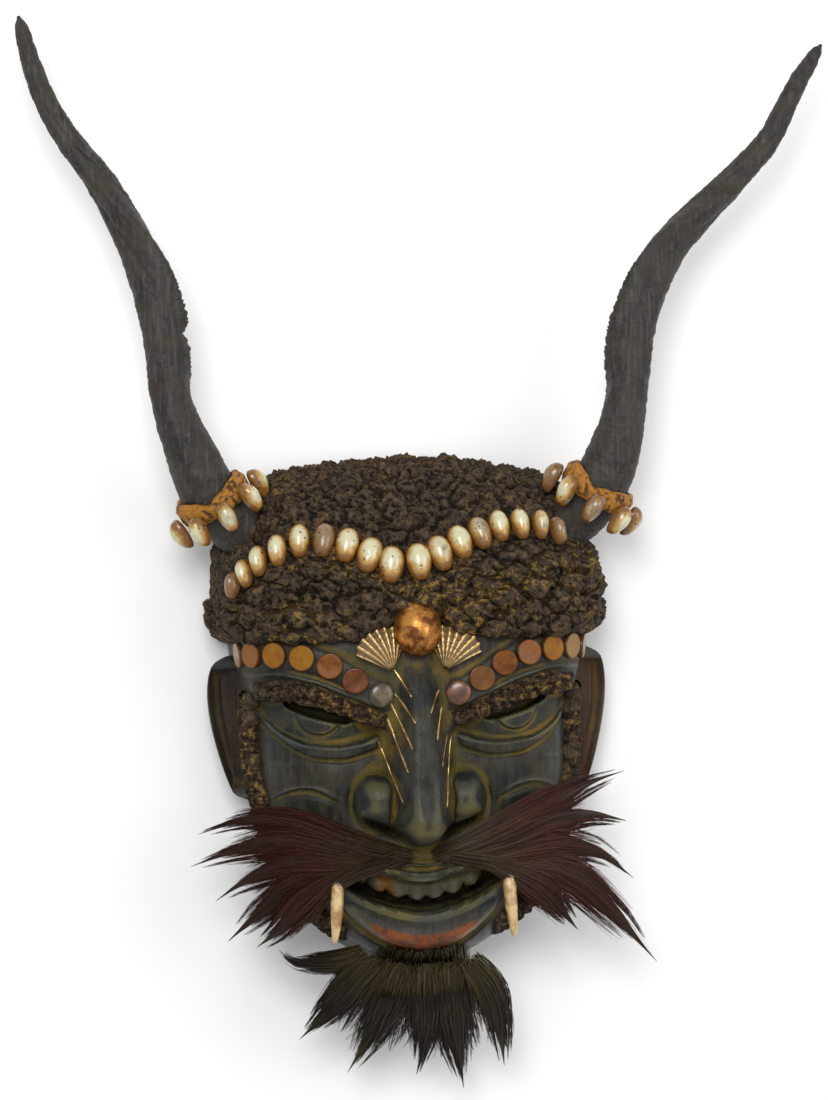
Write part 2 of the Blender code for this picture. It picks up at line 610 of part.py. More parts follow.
def boss(finish):
    """The gilded egg between the brows."""
    shape = bmesh.new()
    bmesh.ops.create_uvsphere(shape, u_segments=12, v_segments=7, radius=1)
    bmesh.ops.scale(shape, vec=(BOSS_WIDTH / 2, BOSS_LENGTH / 2, BOSS_HEIGHT), verts=shape.verts)
    mesh = bpy.data.meshes.new("forehead_boss")
    shape.to_mesh(mesh)
    shape.free()
    mesh.shade_smooth()
    mesh.materials.append(finish)
    made = bpy.data.objects.new("forehead_boss", mesh)
    bpy.context.scene.collection.objects.link(made)
    point, normal = on_block(0, 202.5, 0.35 * BOSS_HEIGHT)
    return place(made, point, normal)


def scallop(side, finish):
    """A ribbed fan shell, its hinge beside the bridge of the nose."""
    sign = -1 if side == "left" else 1
    ribs, rows = 2 * SCALLOP_RIBS + 1, 4
    spread = np.radians(np.linspace(-44, 44, ribs))
    out = np.linspace(0.12, 1, rows)[:, None]
    reach = SCALLOP_LENGTH * out * np.sqrt(1 - 0.25 * (spread / spread[-1]) ** 4)
    arch = np.sin(np.pi * (0.18 + 0.70 * out)) * np.sqrt(np.clip(1 - 0.85 * (spread / spread[-1]) ** 2, 0, 1))
    rib = 0.11 * out * np.where(np.arange(ribs) % 2 == 1, 1, -1)
    top = np.stack([reach * np.sin(spread), reach * np.cos(spread), SCALLOP_HEIGHT * (arch + rib)], -1)
    bottom = top * np.array([1, 1, 0]) - np.array([0, 0, SINK])
    made = add(f"scallop_{side}", *slab(top, bottom), finish, 25)
    point, normal = on_wood(sign * 16.5, 178, 0.0012)
    _, outer_normal = on_wood(sign * 26, 191)
    return place(made, point, normal + 0.6 * outer_normal, up=(sign * 0.34, 0.94, 0))


def along_path(control, count):
    """Evenly spaced points on a smooth curve through the control points, with each one's share."""
    control = np.array(control, float)
    at = np.concatenate([[0], np.cumsum(np.linalg.norm(np.diff(control, axis=0), axis=1))])
    fine = np.linspace(0, at[-1], 400)
    slope = np.gradient(control, at, axis=0)
    i = np.clip(np.searchsorted(at, fine) - 1, 0, len(at) - 2)
    width = (at[i + 1] - at[i])[:, None]
    t = (fine[:, None] - at[i][:, None]) / width
    path = (control[i] * (1 + 2 * t) * (1 - t) ** 2 + control[i + 1] * t * t * (3 - 2 * t)
            + width * t * (1 - t) * (slope[i] * (1 - t) - slope[i + 1] * t))
    length = np.concatenate([[0], np.cumsum(np.linalg.norm(np.diff(path, axis=0), axis=1))])
    share = np.linspace(0, 1, count)
    return np.stack([np.interp(share * length[-1], length, path[:, k]) for k in range(3)], -1), share


def sections(path, widths, depths, sides, side_axis=(0, 0, 1), keel=None):
    """Rings across a path. Keel gives each ring's (angle, height share) of a sharp edge."""
    ahead = np.gradient(path, axis=0)
    ahead /= np.linalg.norm(ahead, axis=1, keepdims=True)
    second = np.array(side_axis, float) - (ahead @ np.array(side_axis, float))[:, None] * ahead
    second /= np.linalg.norm(second, axis=1, keepdims=True)
    first = np.cross(second, ahead)
    turn = np.linspace(0, 2 * math.pi, sides, endpoint=False)[None]
    swell = np.ones((len(path), sides))
    if keel is not None:
        angle, height = keel
        apart = np.abs((turn - angle[:, None] + math.pi) % (2 * math.pi) - math.pi)
        swell += height[:, None] * np.exp(-(apart / 0.50) ** 1.5)
    u = np.cos(turn) * swell * widths[:, None]
    v = np.sin(turn) * swell * depths[:, None]
    return path[:, None] + first[:, None] * u[..., None] + second[:, None] * v[..., None]


# Each horn's middle line: distance from the middle plane, height and depth, in squares
HORN_LINES = {
    "left": [(91, 257, 40), (108, 273, 46), (119, 287, 51), (127, 305, 56), (141, 343, 62), (146, 385, 60),
             (156, 427, 54), (175, 468, 52), (205, 512, 54), (215, 535, 54), (225, 574, 48)],
    "right": [(91, 257, 40), (108, 273, 46), (118, 287, 51), (126, 306, 56), (135, 343, 62), (143, 385, 60),
              (162, 427, 54), (202, 468, 52), (225, 492, 54), (246, 530, 56), (262, 553, 52)],
}
# Half thickness at evenly spaced places from base to tip, as a share of the base's
HORN_TAPER = [(0, 0.92), (0.08, 1.0), (0.15, 0.95), (0.24, 0.76), (0.31, 0.64), (0.40, 0.62), (0.50, 0.64),
              (0.58, 0.62), (0.66, 0.54), (0.75, 0.46), (0.85, 0.38), (0.94, 0.31), (0.985, 0.20), (1, 0.06)]
HORN_RINGS = 27


def horn(side, finish):
    """A twisted horn: rings of growth, a sharp keel that winds once round, and a smooth tip."""
    sign = -1 if side == "left" else 1
    control = np.array(HORN_LINES[side], float) * SQUARE * (sign, 1, 1)
    path, share = along_path(control, HORN_RINGS)
    half = smooth(share, HORN_TAPER) * HORN_THICKNESS / 2
    angle = math.pi * (0.5 + sign * (2.1 * (share - 0.40) - 0.5))
    height = 0.62 * ramp(share, 0.20, 0.36) * (1 - ramp(share, 0.58, 0.80))
    rings = sections(path, half * 0.97, half * 0.90, 12, keel=(angle, height))
    return add(f"horn_{side}", *tube(rings), finish, 50), path, half


def collar(side, path, half, finish):
    """A ring of resin that fills the joint round the foot of the horn."""
    share = np.linspace(0, 1, len(path))
    before, centre, after = [np.array([np.interp(COLLAR_PLACE + step, share, path[:, k]) for k in range(3)])
                             for step in (-0.03, 0, 0.03)]
    ahead = (after - before) / np.linalg.norm(after - before)
    inner = half.max() + CLEARANCE
    sides = 14
    turn = np.linspace(0, 2 * math.pi, sides, endpoint=False)
    profile = [(inner - 0.004, -COLLAR_LENGTH / 2), (inner + COLLAR_THICKNESS, -COLLAR_LENGTH * 0.45),
               (inner + COLLAR_THICKNESS * 1.1, 0), (inner + COLLAR_THICKNESS * 0.5, COLLAR_LENGTH * 0.4),
               (inner - 0.004, COLLAR_LENGTH / 2)]
    rings = np.array([[(r * math.cos(t), r * math.sin(t), z) for t in turn] for r, z in profile])
    made = add(f"horn_collar_{side}", *tube(rings), finish, 45)
    return place(made, centre, ahead, up=(0, 0, 1)), centre, ahead, inner + 1.1 * COLLAR_THICKNESS + CLEARANCE


def collar_shells(side, centre, ahead, radius, finish):
    """Shells round the front of a collar, with their long axes along the horn."""
    sign = -1 if side == "left" else 1
    forward = Vector((0, 0, 1)) - Vector(ahead) * float(ahead[2])
    forward.normalize()
    across = Vector(ahead).cross(forward)
    shells = []
    for i in range(COLLAR_SHELLS):
        angle = math.radians(-84 + 42 * i) * -sign
        out = forward * math.cos(angle) + across * math.sin(angle)
        point = Vector(centre) + out * (radius + SHELL_HEIGHT * 0.28) - Vector(ahead) * 0.008
        made = cowrie(f"collar_shell_{side}_{i + 1}", COLLAR_SHELL_LENGTH, SHELL_WIDTH * 0.92, SHELL_HEIGHT, finish)
        shells.append(place(made, point, out, up=ahead, turn=math.radians(8 * math.sin(5 * i))))
    return shells


def fang(side, finish):
    """A bone fang that hangs over the corner of the lips."""
    sign = -1 if side == "left" else 1
    top = np.array([sign * 51, 62, 0]) * SQUARE
    share = np.linspace(0, 1, 9)
    drop = FANG_LENGTH * share
    x = top[0] + sign * 0.0025 * share ** 2
    y = top[1] - drop
    lip = 0.090 * MASK_DEPTH / 0.080
    z = lip - 0.0060 + 0.0050 * np.sin(math.pi * share * 0.8)
    half = FANG_DIAMETER / 2 * np.interp(share, [0, 0.15, 0.6, 0.9, 1], [0.85, 1, 0.92, 0.55, 0.16])
    rings = sections(np.stack([x, y, z], -1), half, half * 0.9, 8)
    return add(f"fang_{side}", *tube(rings), finish, 60)


def tuft(name, locks, finish, kept):
    """Flat tapering locks grown together into one body. A lock is (points, widths), root first."""
    points, faces = [], []
    for control, widths in locks:
        path, share = along_path(np.array(control, float) * SQUARE, 12)
        half = np.interp(share, np.linspace(0, 1, len(widths)), widths) * SQUARE[0] / 2
        depth = LOCK_THICKNESS / 2 * np.interp(share, [0, 0.15, 0.6, 1], [0.8, 1, 0.9, 0.55])
        more, cells = tube(sections(path, half, np.minimum(depth, half), 8))
        faces += [[k + len(points) for k in cell] for cell in cells]
        points += [tuple(p) for p in more]
    made = add(name, points, faces, finish, 60)
    grown = made.modifiers.new("grown_together", "REMESH")
    grown.mode = "VOXEL"
    grown.voxel_size = LOCK_VOXEL
    return thin_out(made, kept)


# Locks of hair: middle line as distance from the middle plane, height and depth, and widths, in squares
MOUSTACHE = {
    "left": [
        ([(-6, 68, 86), (-40, 77, 89), (-80, 91, 74), (-104, 92, 64), (-131, 84, 57)], (10, 18, 20, 15, 6)),
        ([(-8, 67, 86), (-45, 72, 88), (-82, 79, 76), (-108, 75, 66), (-136, 65, 58)], (10, 16, 24, 19, 6)),
        ([(-10, 66, 86), (-50, 65, 87), (-84, 64, 77), (-108, 54, 66), (-122, 44, 60)], (10, 16, 26, 20, 6)),
        ([(-16, 70, 90), (-54, 59, 86), (-84, 47, 76), (-102, 32, 66), (-115, 20, 60)], (9, 15, 27, 24, 9)),
        ([(-34, 67, 89), (-56, 55, 86), (-74, 40, 80), (-86, 26, 70), (-98, 16, 62)], (9, 13, 22, 19, 9)),
    ],
    "right": [
        ([(6, 68, 86), (40, 80, 89), (80, 97, 74), (104, 107, 64), (127, 113, 57)], (10, 18, 22, 17, 6)),
        ([(8, 67, 86), (45, 75, 88), (82, 86, 76), (106, 88, 66), (127, 83, 59)], (10, 17, 25, 22, 10)),
        ([(10, 66, 86), (50, 68, 87), (84, 71, 77), (110, 64, 66), (131, 48, 58)], (10, 16, 26, 20, 6)),
        ([(16, 70, 90), (54, 62, 86), (86, 55, 76), (112, 33, 66), (145, -4, 52)], (9, 15, 26, 22, 6)),
        ([(34, 67, 89), (56, 56, 86), (74, 44, 80), (86, 30, 71), (95, 19, 64)], (9, 13, 23, 19, 9)),
    ],
}
BEARD = [
    ([(-36, 12, 78), (-50, 6, 66), (-64, 4, 56), (-76, 4, 48), (-84, 11, 44)], (12, 15, 13, 9, 5)),
    ([(-28, 8, 80), (-42, -8, 68), (-54, -24, 54), (-73, -44, 40)], (18, 25, 20, 6)),
    ([(-14, 6, 82), (-22, -20, 68), (-31, -42, 50), (-44, -66, 36)], (20, 27, 20, 6)),
    ([(0, 5, 83), (2, -24, 68), (2, -47, 50), (-2, -69, 36)], (24, 27, 21, 7)),
    ([(14, 5, 82), (17, -24, 66), (22, -52, 48), (27, -79, 34)], (22, 26, 21, 6)),
    ([(26, 6, 81), (38, -10, 72), (47, -36, 54), (52, -66, 36)], (16, 22, 17, 7)),
]


def main():
    for old in list(bpy.data.objects):
        bpy.data.objects.remove(old)
    wood_finish = material("blackened_wood", (0.055, 0.055, 0.045), 0.45)
    paste = material("knotted_paste", (0.070, 0.050, 0.028), 0.85)
    resin = material("ochre_resin", (0.45, 0.22, 0.05), 0.6)
    shell = material("cowrie_shell", (0.72, 0.62, 0.42), 0.25)
    horn_finish = material("dark_horn", (0.045, 0.038, 0.033), 0.55)
    bone = material("old_bone", (0.68, 0.48, 0.22), 0.4)
    gilt = material("worn_gilt", (0.52, 0.26, 0.07), 0.35, 0.7)
    hair = material("horse_hair", (0.030, 0.016, 0.014), 0.5)
    discs = {
        "amber_disc": material("amber_disc", (0.42, 0.16, 0.035), 0.35),
        "dark_bead": material("dark_bead", (0.10, 0.06, 0.035), 0.3),
    }

    wood = carved_mask(wood_finish)
    bed = cutter(wood, "wood_bed", 2 * CLEARANCE)
    ear_beds = [cutter(bpy.data.objects[f"ear_{side}_shape"], f"ear_{side}_bed", 4 * CLEARANCE)
                for side in ("left", "right")]

    crust = hair_crust(paste)
    eyebrows = [eyebrow(side, paste) for side in ("left", "right")]
    sideburns = [sideburn(side, paste) for side in ("left", "right")]
    shells = garland(shell)
    egg = boss(gilt)
    fans = [scallop(side, gilt) for side in ("left", "right")]
    discs_made = brow_discs(discs)
    fangs = [fang(side, bone) for side in ("left", "right")]
    tufts = [tuft(f"moustache_{side}", MOUSTACHE[side], hair, 0.045) for side in ("left", "right")]
    tufts.append(tuft("beard", BEARD, hair, 0.045))

    horns, collars = [], []
    for side in ("left", "right"):
        made, path, half = horn(side, horn_finish)
        ring, centre, ahead, radius = collar(side, path, half, resin)
        own = collar_shells(side, centre, ahead, radius, shell)
        cut(ring, [cutter(made, f"horn_{side}_cut")], "horn_hole")
        horns.append(made)
        collars.append(ring)
        shells += own

    for fan in fans:
        cut(fan, [cutter(egg, f"boss_in_{fan.name}")], "boss_gap")
    for piece in [*eyebrows, *sideburns, egg, *fans, *discs_made, *fangs, *tufts, *horns, *collars]:
        cut(piece, [bed], "wood_bed")
    for burn, ear_bed in zip(sideburns, ear_beds):
        cut(burn, [ear_bed], "ear_bed")
    for group, pieces in (("shell", shells), ("horn", horns), ("collar", collars), ("boss", [egg]),
                          ("scallop", fans), ("disc", discs_made)):
        cut(crust, [cutter(piece, f"{piece.name}_seat") for piece in pieces], f"{group}_seats")
    for piece, tooth in zip(tufts, fangs):
        cut(piece, [cutter(tooth, f"{tooth.name}_gap")], "fang_gap")


main()
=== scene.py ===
import math

import bpy
import bmesh
import numpy as np
from mathutils import Matrix, Vector


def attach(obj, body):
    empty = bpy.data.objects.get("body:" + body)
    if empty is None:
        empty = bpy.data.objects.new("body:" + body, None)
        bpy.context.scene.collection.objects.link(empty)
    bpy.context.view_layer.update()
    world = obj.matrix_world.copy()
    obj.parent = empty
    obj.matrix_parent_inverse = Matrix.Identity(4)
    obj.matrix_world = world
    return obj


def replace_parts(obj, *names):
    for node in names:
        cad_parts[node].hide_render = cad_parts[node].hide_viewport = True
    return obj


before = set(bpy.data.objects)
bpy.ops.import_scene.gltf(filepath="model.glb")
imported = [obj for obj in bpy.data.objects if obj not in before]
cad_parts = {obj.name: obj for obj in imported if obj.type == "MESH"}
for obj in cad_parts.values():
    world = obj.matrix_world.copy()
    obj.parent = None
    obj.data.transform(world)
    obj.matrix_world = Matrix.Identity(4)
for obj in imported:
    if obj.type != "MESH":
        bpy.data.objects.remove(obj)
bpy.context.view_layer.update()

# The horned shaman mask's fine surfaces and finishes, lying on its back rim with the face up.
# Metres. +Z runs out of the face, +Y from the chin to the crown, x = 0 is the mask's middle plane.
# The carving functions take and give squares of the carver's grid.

# Carved wood
MASK_HEIGHT = 0.300
MASK_WIDTH = 0.202
MASK_DEPTH = 0.080
HOLLOW_DEPTH = 0.052
RIM_WALL = 0.012
EAR_LENGTH = 0.088
EAR_WIDTH = 0.034
EAR_THICKNESS = 0.011

# Knotted hair of resin paste
CRUST_THICKNESS = 0.0065
CRUST_EDGE = 0.0035
CRUST_GAP = 0.0017
KNOT_PITCH = 0.0118
CRUST_REACH = 0.950
CRUST_SIDE = 0.915
EYEBROW_THICKNESS = 0.0045
SIDEBURN_WIDTH = 0.015
SIDEBURN_THICKNESS = 0.008

# Shells, discs and the boss
GARLAND_SHELLS = 17
SHELL_LENGTH = 0.0235
SHELL_WIDTH = 0.0118
SHELL_HEIGHT = 0.0095
SHELL_ROOM = 1.03
COLLAR_SHELLS = 5
COLLAR_SHELL_LENGTH = 0.0200
DISC_DIAMETER = 0.0156
DISC_THICKNESS = 0.0044
DISC_PITCH_LEFT = 0.0172
DISC_PITCH_RIGHT = 0.0163
DISCS_LEFT = 6
DISCS_RIGHT = 7
BEAD_DIAMETER = 0.0150
BOSS_WIDTH = 0.0285
BOSS_LENGTH = 0.0335
BOSS_HEIGHT = 0.0150
SCALLOP_LENGTH = 0.0270
SCALLOP_HEIGHT = 0.0065
SCALLOP_RIBS = 8
FANG_LENGTH = 0.042
FANG_DIAMETER = 0.0078

# Horns, collars and hair
HORN_THICKNESS = 0.036
COLLAR_THICKNESS = 0.0045
COLLAR_LENGTH = 0.013
COLLAR_PLACE = 0.112
LOCK_THICKNESS = 0.0070
CLEARANCE = 0.00035
SINK = 0.003

SIDES = (("left", -1), ("right", 1))
SQUARES_HIGH = 300.0
SQUARES_WIDE = 202.0
SQUARES_DEEP = 80.0
SQUARE = np.array([MASK_WIDTH / SQUARES_WIDE, MASK_HEIGHT / SQUARES_HIGH, MASK_DEPTH / SQUARES_DEEP])
CENTRE_Y = 150.0

# How fine the meshes are
WOOD_GRID = 292
HOLLOW_GRID = 73
CRUST_COLUMNS = 381
CRUST_ROWS = 211
HORN_RINGS = 400
HORN_SIDES = 66
HAIR_POINTS = 8
HAIR_RADIUS = 0.00030
MOUSTACHE_HAIRS = 370
BEARD_HAIRS = 270
BETWEEN_HAIRS = 150
CHIN_HAIRS = 62

# Rim outline: angle from the crown in degrees, and radius from the centre in squares
OUTLINE = [(0, 147), (20, 152), (33, 160), (50, 143), (70, 115), (90, 101), (115, 107), (135, 124),
           (152, 140), (166, 150), (180, 156)]
# How boxy the dome's profile is, by the same angle
BOXINESS = [(0, 2.4), (60, 3.1), (180, 3.0)]

# Curves of the face, in squares: distance from the middle plane, height above the chin
BROW_EDGE = [(0, 143), (24, 145), (40, 151.5), (60, 158.5), (80, 162), (96, 161.5), (110, 158)]
BROW_BAND = [(0, 158), (22, 165), (36, 173), (50, 182), (66, 188), (92, 190.5), (110, 189.5)]
BROW_LINE = [(0, 149), (24, 158), (42, 166), (62, 174), (86, 179), (104, 177)]
EYEBROW = [(0, 146), (18, 149.5), (35, 155), (51, 161.5), (66, 166.5), (80, 169), (104, 169)]
LOWER_LID = [(18, 143.5), (26, 141), (36, 138), (48, 136.5), (64, 138), (82, 145), (97, 157)]
EYE_BAG = [(18, 134), (30, 130), (46, 126.5), (60, 127.5), (74, 133), (90, 146), (100, 153)]
UPPER_LIP = [(0, 53), (20, 57), (35, 60), (45, 58), (50, 55)]
LOWER_LIP = [(0, 37.5), (15, 39.2), (30, 43.5), (42, 49.5), (50, 54.5)]
TOOTH_ENDS = [(0, 41), (12, 42.5), (24, 46), (36, 51), (50, 55)]
NOSE_CREST = [(70, 0), (75, 8), (80, 28), (86, 41), (94, 45), (104, 42), (130, 28), (165, 12), (184, 3)]
NOSE_TOP = [(74, 2), (82, 5), (90, 7), (110, 6), (140, 4), (170, 3)]
NOSE_SIDE = [(74, 10), (80, 16), (90, 23), (110, 25), (140, 22), (170, 18)]
LIP_PROFILE = [(0, 0), (0.09, 6), (0.30, 9.5), (0.42, 8.5), (0.60, 7), (0.95, 8), (1, 7)]
GARLAND = [(-98, 228), (-90, 238), (-78, 246), (-62, 252), (-40, 248), (-12, 237), (5, 239), (31, 249),
           (55, 257), (72, 258), (83, 254)]


def smooth(value, knots):
    """A smooth curve through the knots, level at both ends and with no overshoot between them."""
    x, y = np.array(knots, float).T
    rise = np.diff(y) / np.diff(x)
    slope = np.zeros(len(x))
    same = rise[:-1] * rise[1:] > 0
    slope[1:-1][same] = 2 / (1 / rise[:-1][same] + 1 / rise[1:][same])
    value = np.clip(value, x[0], x[-1])
    i = np.clip(np.searchsorted(x, value) - 1, 0, len(x) - 2)
    width = x[i + 1] - x[i]
    t = (value - x[i]) / width
    ends = y[i] * (1 + 2 * t) * (1 - t) ** 2 + y[i + 1] * t * t * (3 - 2 * t)
    return ends + width * t * (1 - t) * (slope[i] * (1 - t) - slope[i + 1] * t)


def around(count):
    """Evenly spaced angles once round a circle."""
    return np.linspace(0, 2 * math.pi, count, endpoint=False)


def length_along(points):
    """Length of a chain of points up to each of them."""
    return np.concatenate([[0], np.cumsum(np.linalg.norm(np.diff(points, axis=0), axis=1))])


def ramp(value, low, high):
    """0 below low, 1 above high, and an S curve between them."""
    t = np.clip((value - low) / (high - low), 0, 1)
    return t * t * (3 - 2 * t)


def mound(x, y, centre, radii, power=2):
    """1 at the centre, falling to 0.37 at the radii."""
    along = np.abs((x - centre[0]) / radii[0]) ** power
    return np.exp(-along - np.abs((y - centre[1]) / radii[1]) ** power)


def crease(distance, width):
    """1 on a line, falling away over the width on both sides."""
    return np.exp(-(distance / width) ** 2)


def rim_share(x, y):
    """How far a point of the grid is from the centre, as a share of the way to the rim."""
    angle = np.degrees(np.abs(np.arctan2(x, y - CENTRE_Y)))
    return np.hypot(x, y - CENTRE_Y) / smooth(angle, OUTLINE), angle


def dome(share, angle, depth=SQUARES_DEEP):
    """The uncarved block: a superellipse from the rim up to the depth."""
    boxy = smooth(angle, BOXINESS)
    return depth * (1 - np.clip(share, 0, 1) ** boxy) ** (1 / boxy)


def eyes(ax, y):
    """Brow ledges, sockets, eyeballs with their iris, the slit above it and the lids below."""
    edge = smooth(ax, BROW_EDGE)
    lid = smooth(ax, LOWER_LID)
    bag = smooth(ax, EYE_BAG)
    beside = ramp(ax, 19, 28) * (1 - ramp(ax, 94, 101))
    soft = 1 - ramp(ax, 8, 24)
    ledge = 11 * ramp(y, edge - 2 - 34 * soft, edge + 3 + 12 * soft)
    ledge = ledge * (1 - ramp(y, 186, 262)) * (1 - 0.55 * soft)
    inside = ramp(y, lid - 2, lid + 3) * (1 - ramp(y, edge - 1, edge + 2)) * beside
    ball = np.sqrt(np.clip(1 - ((ax - 60) / 42) ** 2 - ((y - 152) / 22) ** 2, 0, 1))
    from_iris = np.hypot(ax - 58.5, y - 155)
    iris = 1.6 * (1 - ramp(from_iris, 12, 13.2)) - 1.3 * crease(from_iris - 14, 1.1)
    slit_height = 6.5 * np.sqrt(np.clip(1 - ((ax - 59) / 20) ** 2, 0, 1))
    slit = ramp(y, edge - slit_height - 1, edge - slit_height + 1.5) * (slit_height > 0.5)
    socket = inside * (12 * ball - 9 + iris * (1 - slit) - 11 * slit)
    lids = 2.8 * crease(y - lid + 2.5, 2.4) + 2.4 * crease(y - bag - 3.5, 3.2) - 2.0 * crease(y - bag, 1.3)
    return ledge + socket + lids * beside


def nostril_line(ax):
    return 80 + 0.45 * (ax - 10)


def nose(ax, y):
    """Straight crest, rounded wings and the nostril slits under them."""
    top = smooth(y, NOSE_TOP)
    side = smooth(y, NOSE_SIDE)
    crest = smooth(y, NOSE_CREST) * (1 - ramp(ax, top * 0.7, side)) * ramp(y, 70, 77)
    wing = 20 * mound(ax, y, (25, 103), (11, 14), 3.2)
    slit = 11 * crease(y - nostril_line(ax), 2.4) * ramp(ax, 7, 13) * (1 - ramp(ax, 30, 37))
    ring = 2.5 * crease(np.hypot((ax - 25.5) / 1.1, (y - 102) / 1.35) - 14, 2)
    return np.maximum(crest, wing) - slit - ring


def lip_base(x):
    """Height of the lower lip's outer edge, which rises towards the corners of the mouth."""
    return 12.5 + 0.011 * x ** 2


def mouth_opening(ax, y, corner, end):
    """1 between the lips, falling to 0 from the corner to the end."""
    upper, lower = smooth(ax, UPPER_LIP), smooth(ax, LOWER_LIP)
    between = ramp(y, lower - 1.4, lower + 1) * (1 - ramp(y, upper - 1, upper + 1.4))
    return between * (1 - ramp(ax, corner, end))


def tooth_line(x):
    """How far down the row of teeth comes, and how near the middle of its tooth each point is."""
    lobe = np.abs(np.cos(np.pi * (x + 4) / 11.5))
    return smooth(np.abs(x), TOOTH_ENDS) + 3.2 * (1 - lobe ** 0.6), lobe


def mouth(x, y):
    """Snarling lips, the row of teeth behind the upper one, the broad lower lip and the chin."""
    ax = np.abs(x)
    upper = smooth(ax, UPPER_LIP)
    lower = smooth(ax, LOWER_LIP)
    base = lip_base(ax)
    inside = mouth_opening(ax, y, 47, 51)
    ends, lobe = tooth_line(x)
    teeth = (17 + 3 * lobe) * ramp(y, ends - 1.2, ends + 2) * (1 - ramp(ax, 36, 40))
    share = (y - base) / np.maximum(lower - base, 1)
    lip = smooth(share, LIP_PROFILE) * (share > 0) * (share <= 1.02) * (1 - ramp(ax, 42, 51))
    folds = 1.3 * np.cos((y - 0.006 * ax ** 2 - 59) * 1.25) * mound(ax, y, (0, 62), (34, 9), 4)
    muzzle = 14 * mound(ax, y, (0, 40), (60, 42), 3)
    chin = 15 * mound(ax, y, (0, 13), (38, 24), 2.4)
    above = 4 * crease(y - upper - 4, 3.6) * (1 - ramp(ax, 40, 54))
    below = 2.5 * crease(y - base + 2, 2) * (1 - ramp(ax, 36, 48))
    return muzzle + chin + above - below + folds + lip * (1 - inside) - inside * (23 - teeth)


def cheeks(ax, y):
    """Cheek mounds, creases, jowls and the squared edge where the face turns back."""
    mounds = 5 * mound(ax, y, (60, 117), (30, 17)) + 7 * mound(ax, y, (73, 48), (17, 24), 3)
    short = 1.5 * crease(y - 125, 1.5) * ramp(ax, 70, 78)
    arc = y - 111 + 0.02 * (ax - 68) ** 2
    smile = (1.8 * crease(arc, 1.4) - 2.2 * crease(arc + 3, 2.4)) * mound(ax, y, (68, 110), (18, 14), 4)
    fold = 3 * crease(ax - 59, 2.6) * ramp(y, 20, 30) * (1 - ramp(y, 48, 58))
    turn = 9 * ramp(ax, 86, 96) * ramp(y, 50, 66) * (1 - ramp(y, 150, 158))
    return mounds + short + smile - fold - turn


def band(ax, y):
    """The raised band that the discs sit on, and the thin ridge below it."""
    raised = 2.6 * np.exp(-((y - smooth(ax, BROW_BAND)) / 8.5) ** 6) * ramp(ax, 12, 20)
    return raised + 1.8 * crease(y - smooth(ax, BROW_LINE), 1.7) * ramp(ax, 20, 30)


def carved_height(x, y):
    """Height of the carved wood above the back rim, in squares."""
    share, angle = rim_share(x, y)
    ax = np.abs(x)
    relief = eyes(ax, y) + nose(ax, y) + mouth(x, y) + cheeks(ax, y) + band(ax, y)
    return dome(share, angle) + relief * (1 - ramp(share, 0.93, 1.0))


def disc_grid(count):
    """Shares and angles of a square grid wrapped onto a round one, evenly spaced over the dome."""
    side = np.linspace(-1, 1, count + 1)
    a, b = np.meshgrid(side, side, indexing="ij")
    wide = np.abs(a) > np.abs(b)
    ring = np.where(wide, a, b)
    with np.errstate(divide="ignore", invalid="ignore"):
        turn = np.where(wide, math.pi / 4 * b / a, math.pi / 2 - math.pi / 4 * a / b)
    turn = np.nan_to_num(turn)
    fine = np.linspace(0, math.pi / 2, 2000)
    share = np.sin(fine) ** 0.7
    height = 0.7 * np.cos(fine) ** 0.7
    length = np.concatenate([[0], np.cumsum(np.hypot(np.diff(share), np.diff(height)))])
    facing = np.where(ring < 0, -1, 1)
    return np.interp(np.abs(ring) * length[-1], length, share), np.cos(turn) * facing, np.sin(turn) * facing


def unevenness(points, size, seed, octaves=3):
    """About plus or minus one: a sum of sines in fixed chance directions, halving in size each octave."""
    chance = np.random.default_rng(seed)
    total = np.zeros(points.shape[:-1])
    for octave in range(octaves):
        for _ in range(7):
            way = chance.normal(size=3)
            way *= 2 * math.pi * 2 ** octave / size / np.linalg.norm(way)
            total += np.sin(points @ way + chance.uniform(0, 2 * math.pi)) / 1.9 ** octave
    return total / 3.4


def grid_normals(points):
    """Unit normals of a grid of points, from the cross product of its two slopes, on the +Z side."""
    normal = np.cross(np.gradient(points, axis=0), np.gradient(points, axis=1))
    normal /= np.maximum(np.linalg.norm(normal, axis=-1, keepdims=True), 1e-12)
    return normal * np.sign(normal[..., 2].sum())


def hollow_of(points, reach):
    """Millimetres that a grid's points lie below the average of their neighbours, along the normal."""
    soft = points
    for _ in range(reach):
        wide = np.pad(soft, ((1, 1), (1, 1), (0, 0)), mode="edge")
        soft = (wide[:-2, 1:-1] + wide[2:, 1:-1] + wide[1:-1, :-2] + wide[1:-1, 2:]) / 4
    return 1000 * ((soft - points) * grid_normals(points)).sum(-1)


def cells_of(index):
    """The four corners of every cell of a grid of point numbers."""
    return np.stack([index[:-1, :-1], index[1:, :-1], index[1:, 1:], index[:-1, 1:]], -1).reshape(-1, 4)


def border_of(index):
    """The point numbers once round the edge of a grid."""
    return np.concatenate([index[0, :], index[1:, -1], index[-1, -2::-1], index[-2:0:-1, 0]])


def closed_pair(top, base):
    """A fine grid over a coarser one, with a wall of wide faces between their edges."""
    index = np.arange(top.shape[0] * top.shape[1]).reshape(top.shape[:2])
    under = index.size + np.arange(base.shape[0] * base.shape[1]).reshape(base.shape[:2])
    ratio = (top.shape[0] - 1) // (base.shape[0] - 1)
    edge, low_edge = border_of(index), border_of(under)
    along = [np.roll(edge, -step)[::ratio] for step in range(ratio + 1)]
    walls = np.stack([*along, np.roll(low_edge, -1), low_edge], 1)
    points = np.concatenate([top.reshape(-1, 3), base.reshape(-1, 3)])
    return points, [cells_of(index), cells_of(under)[:, ::-1], walls]


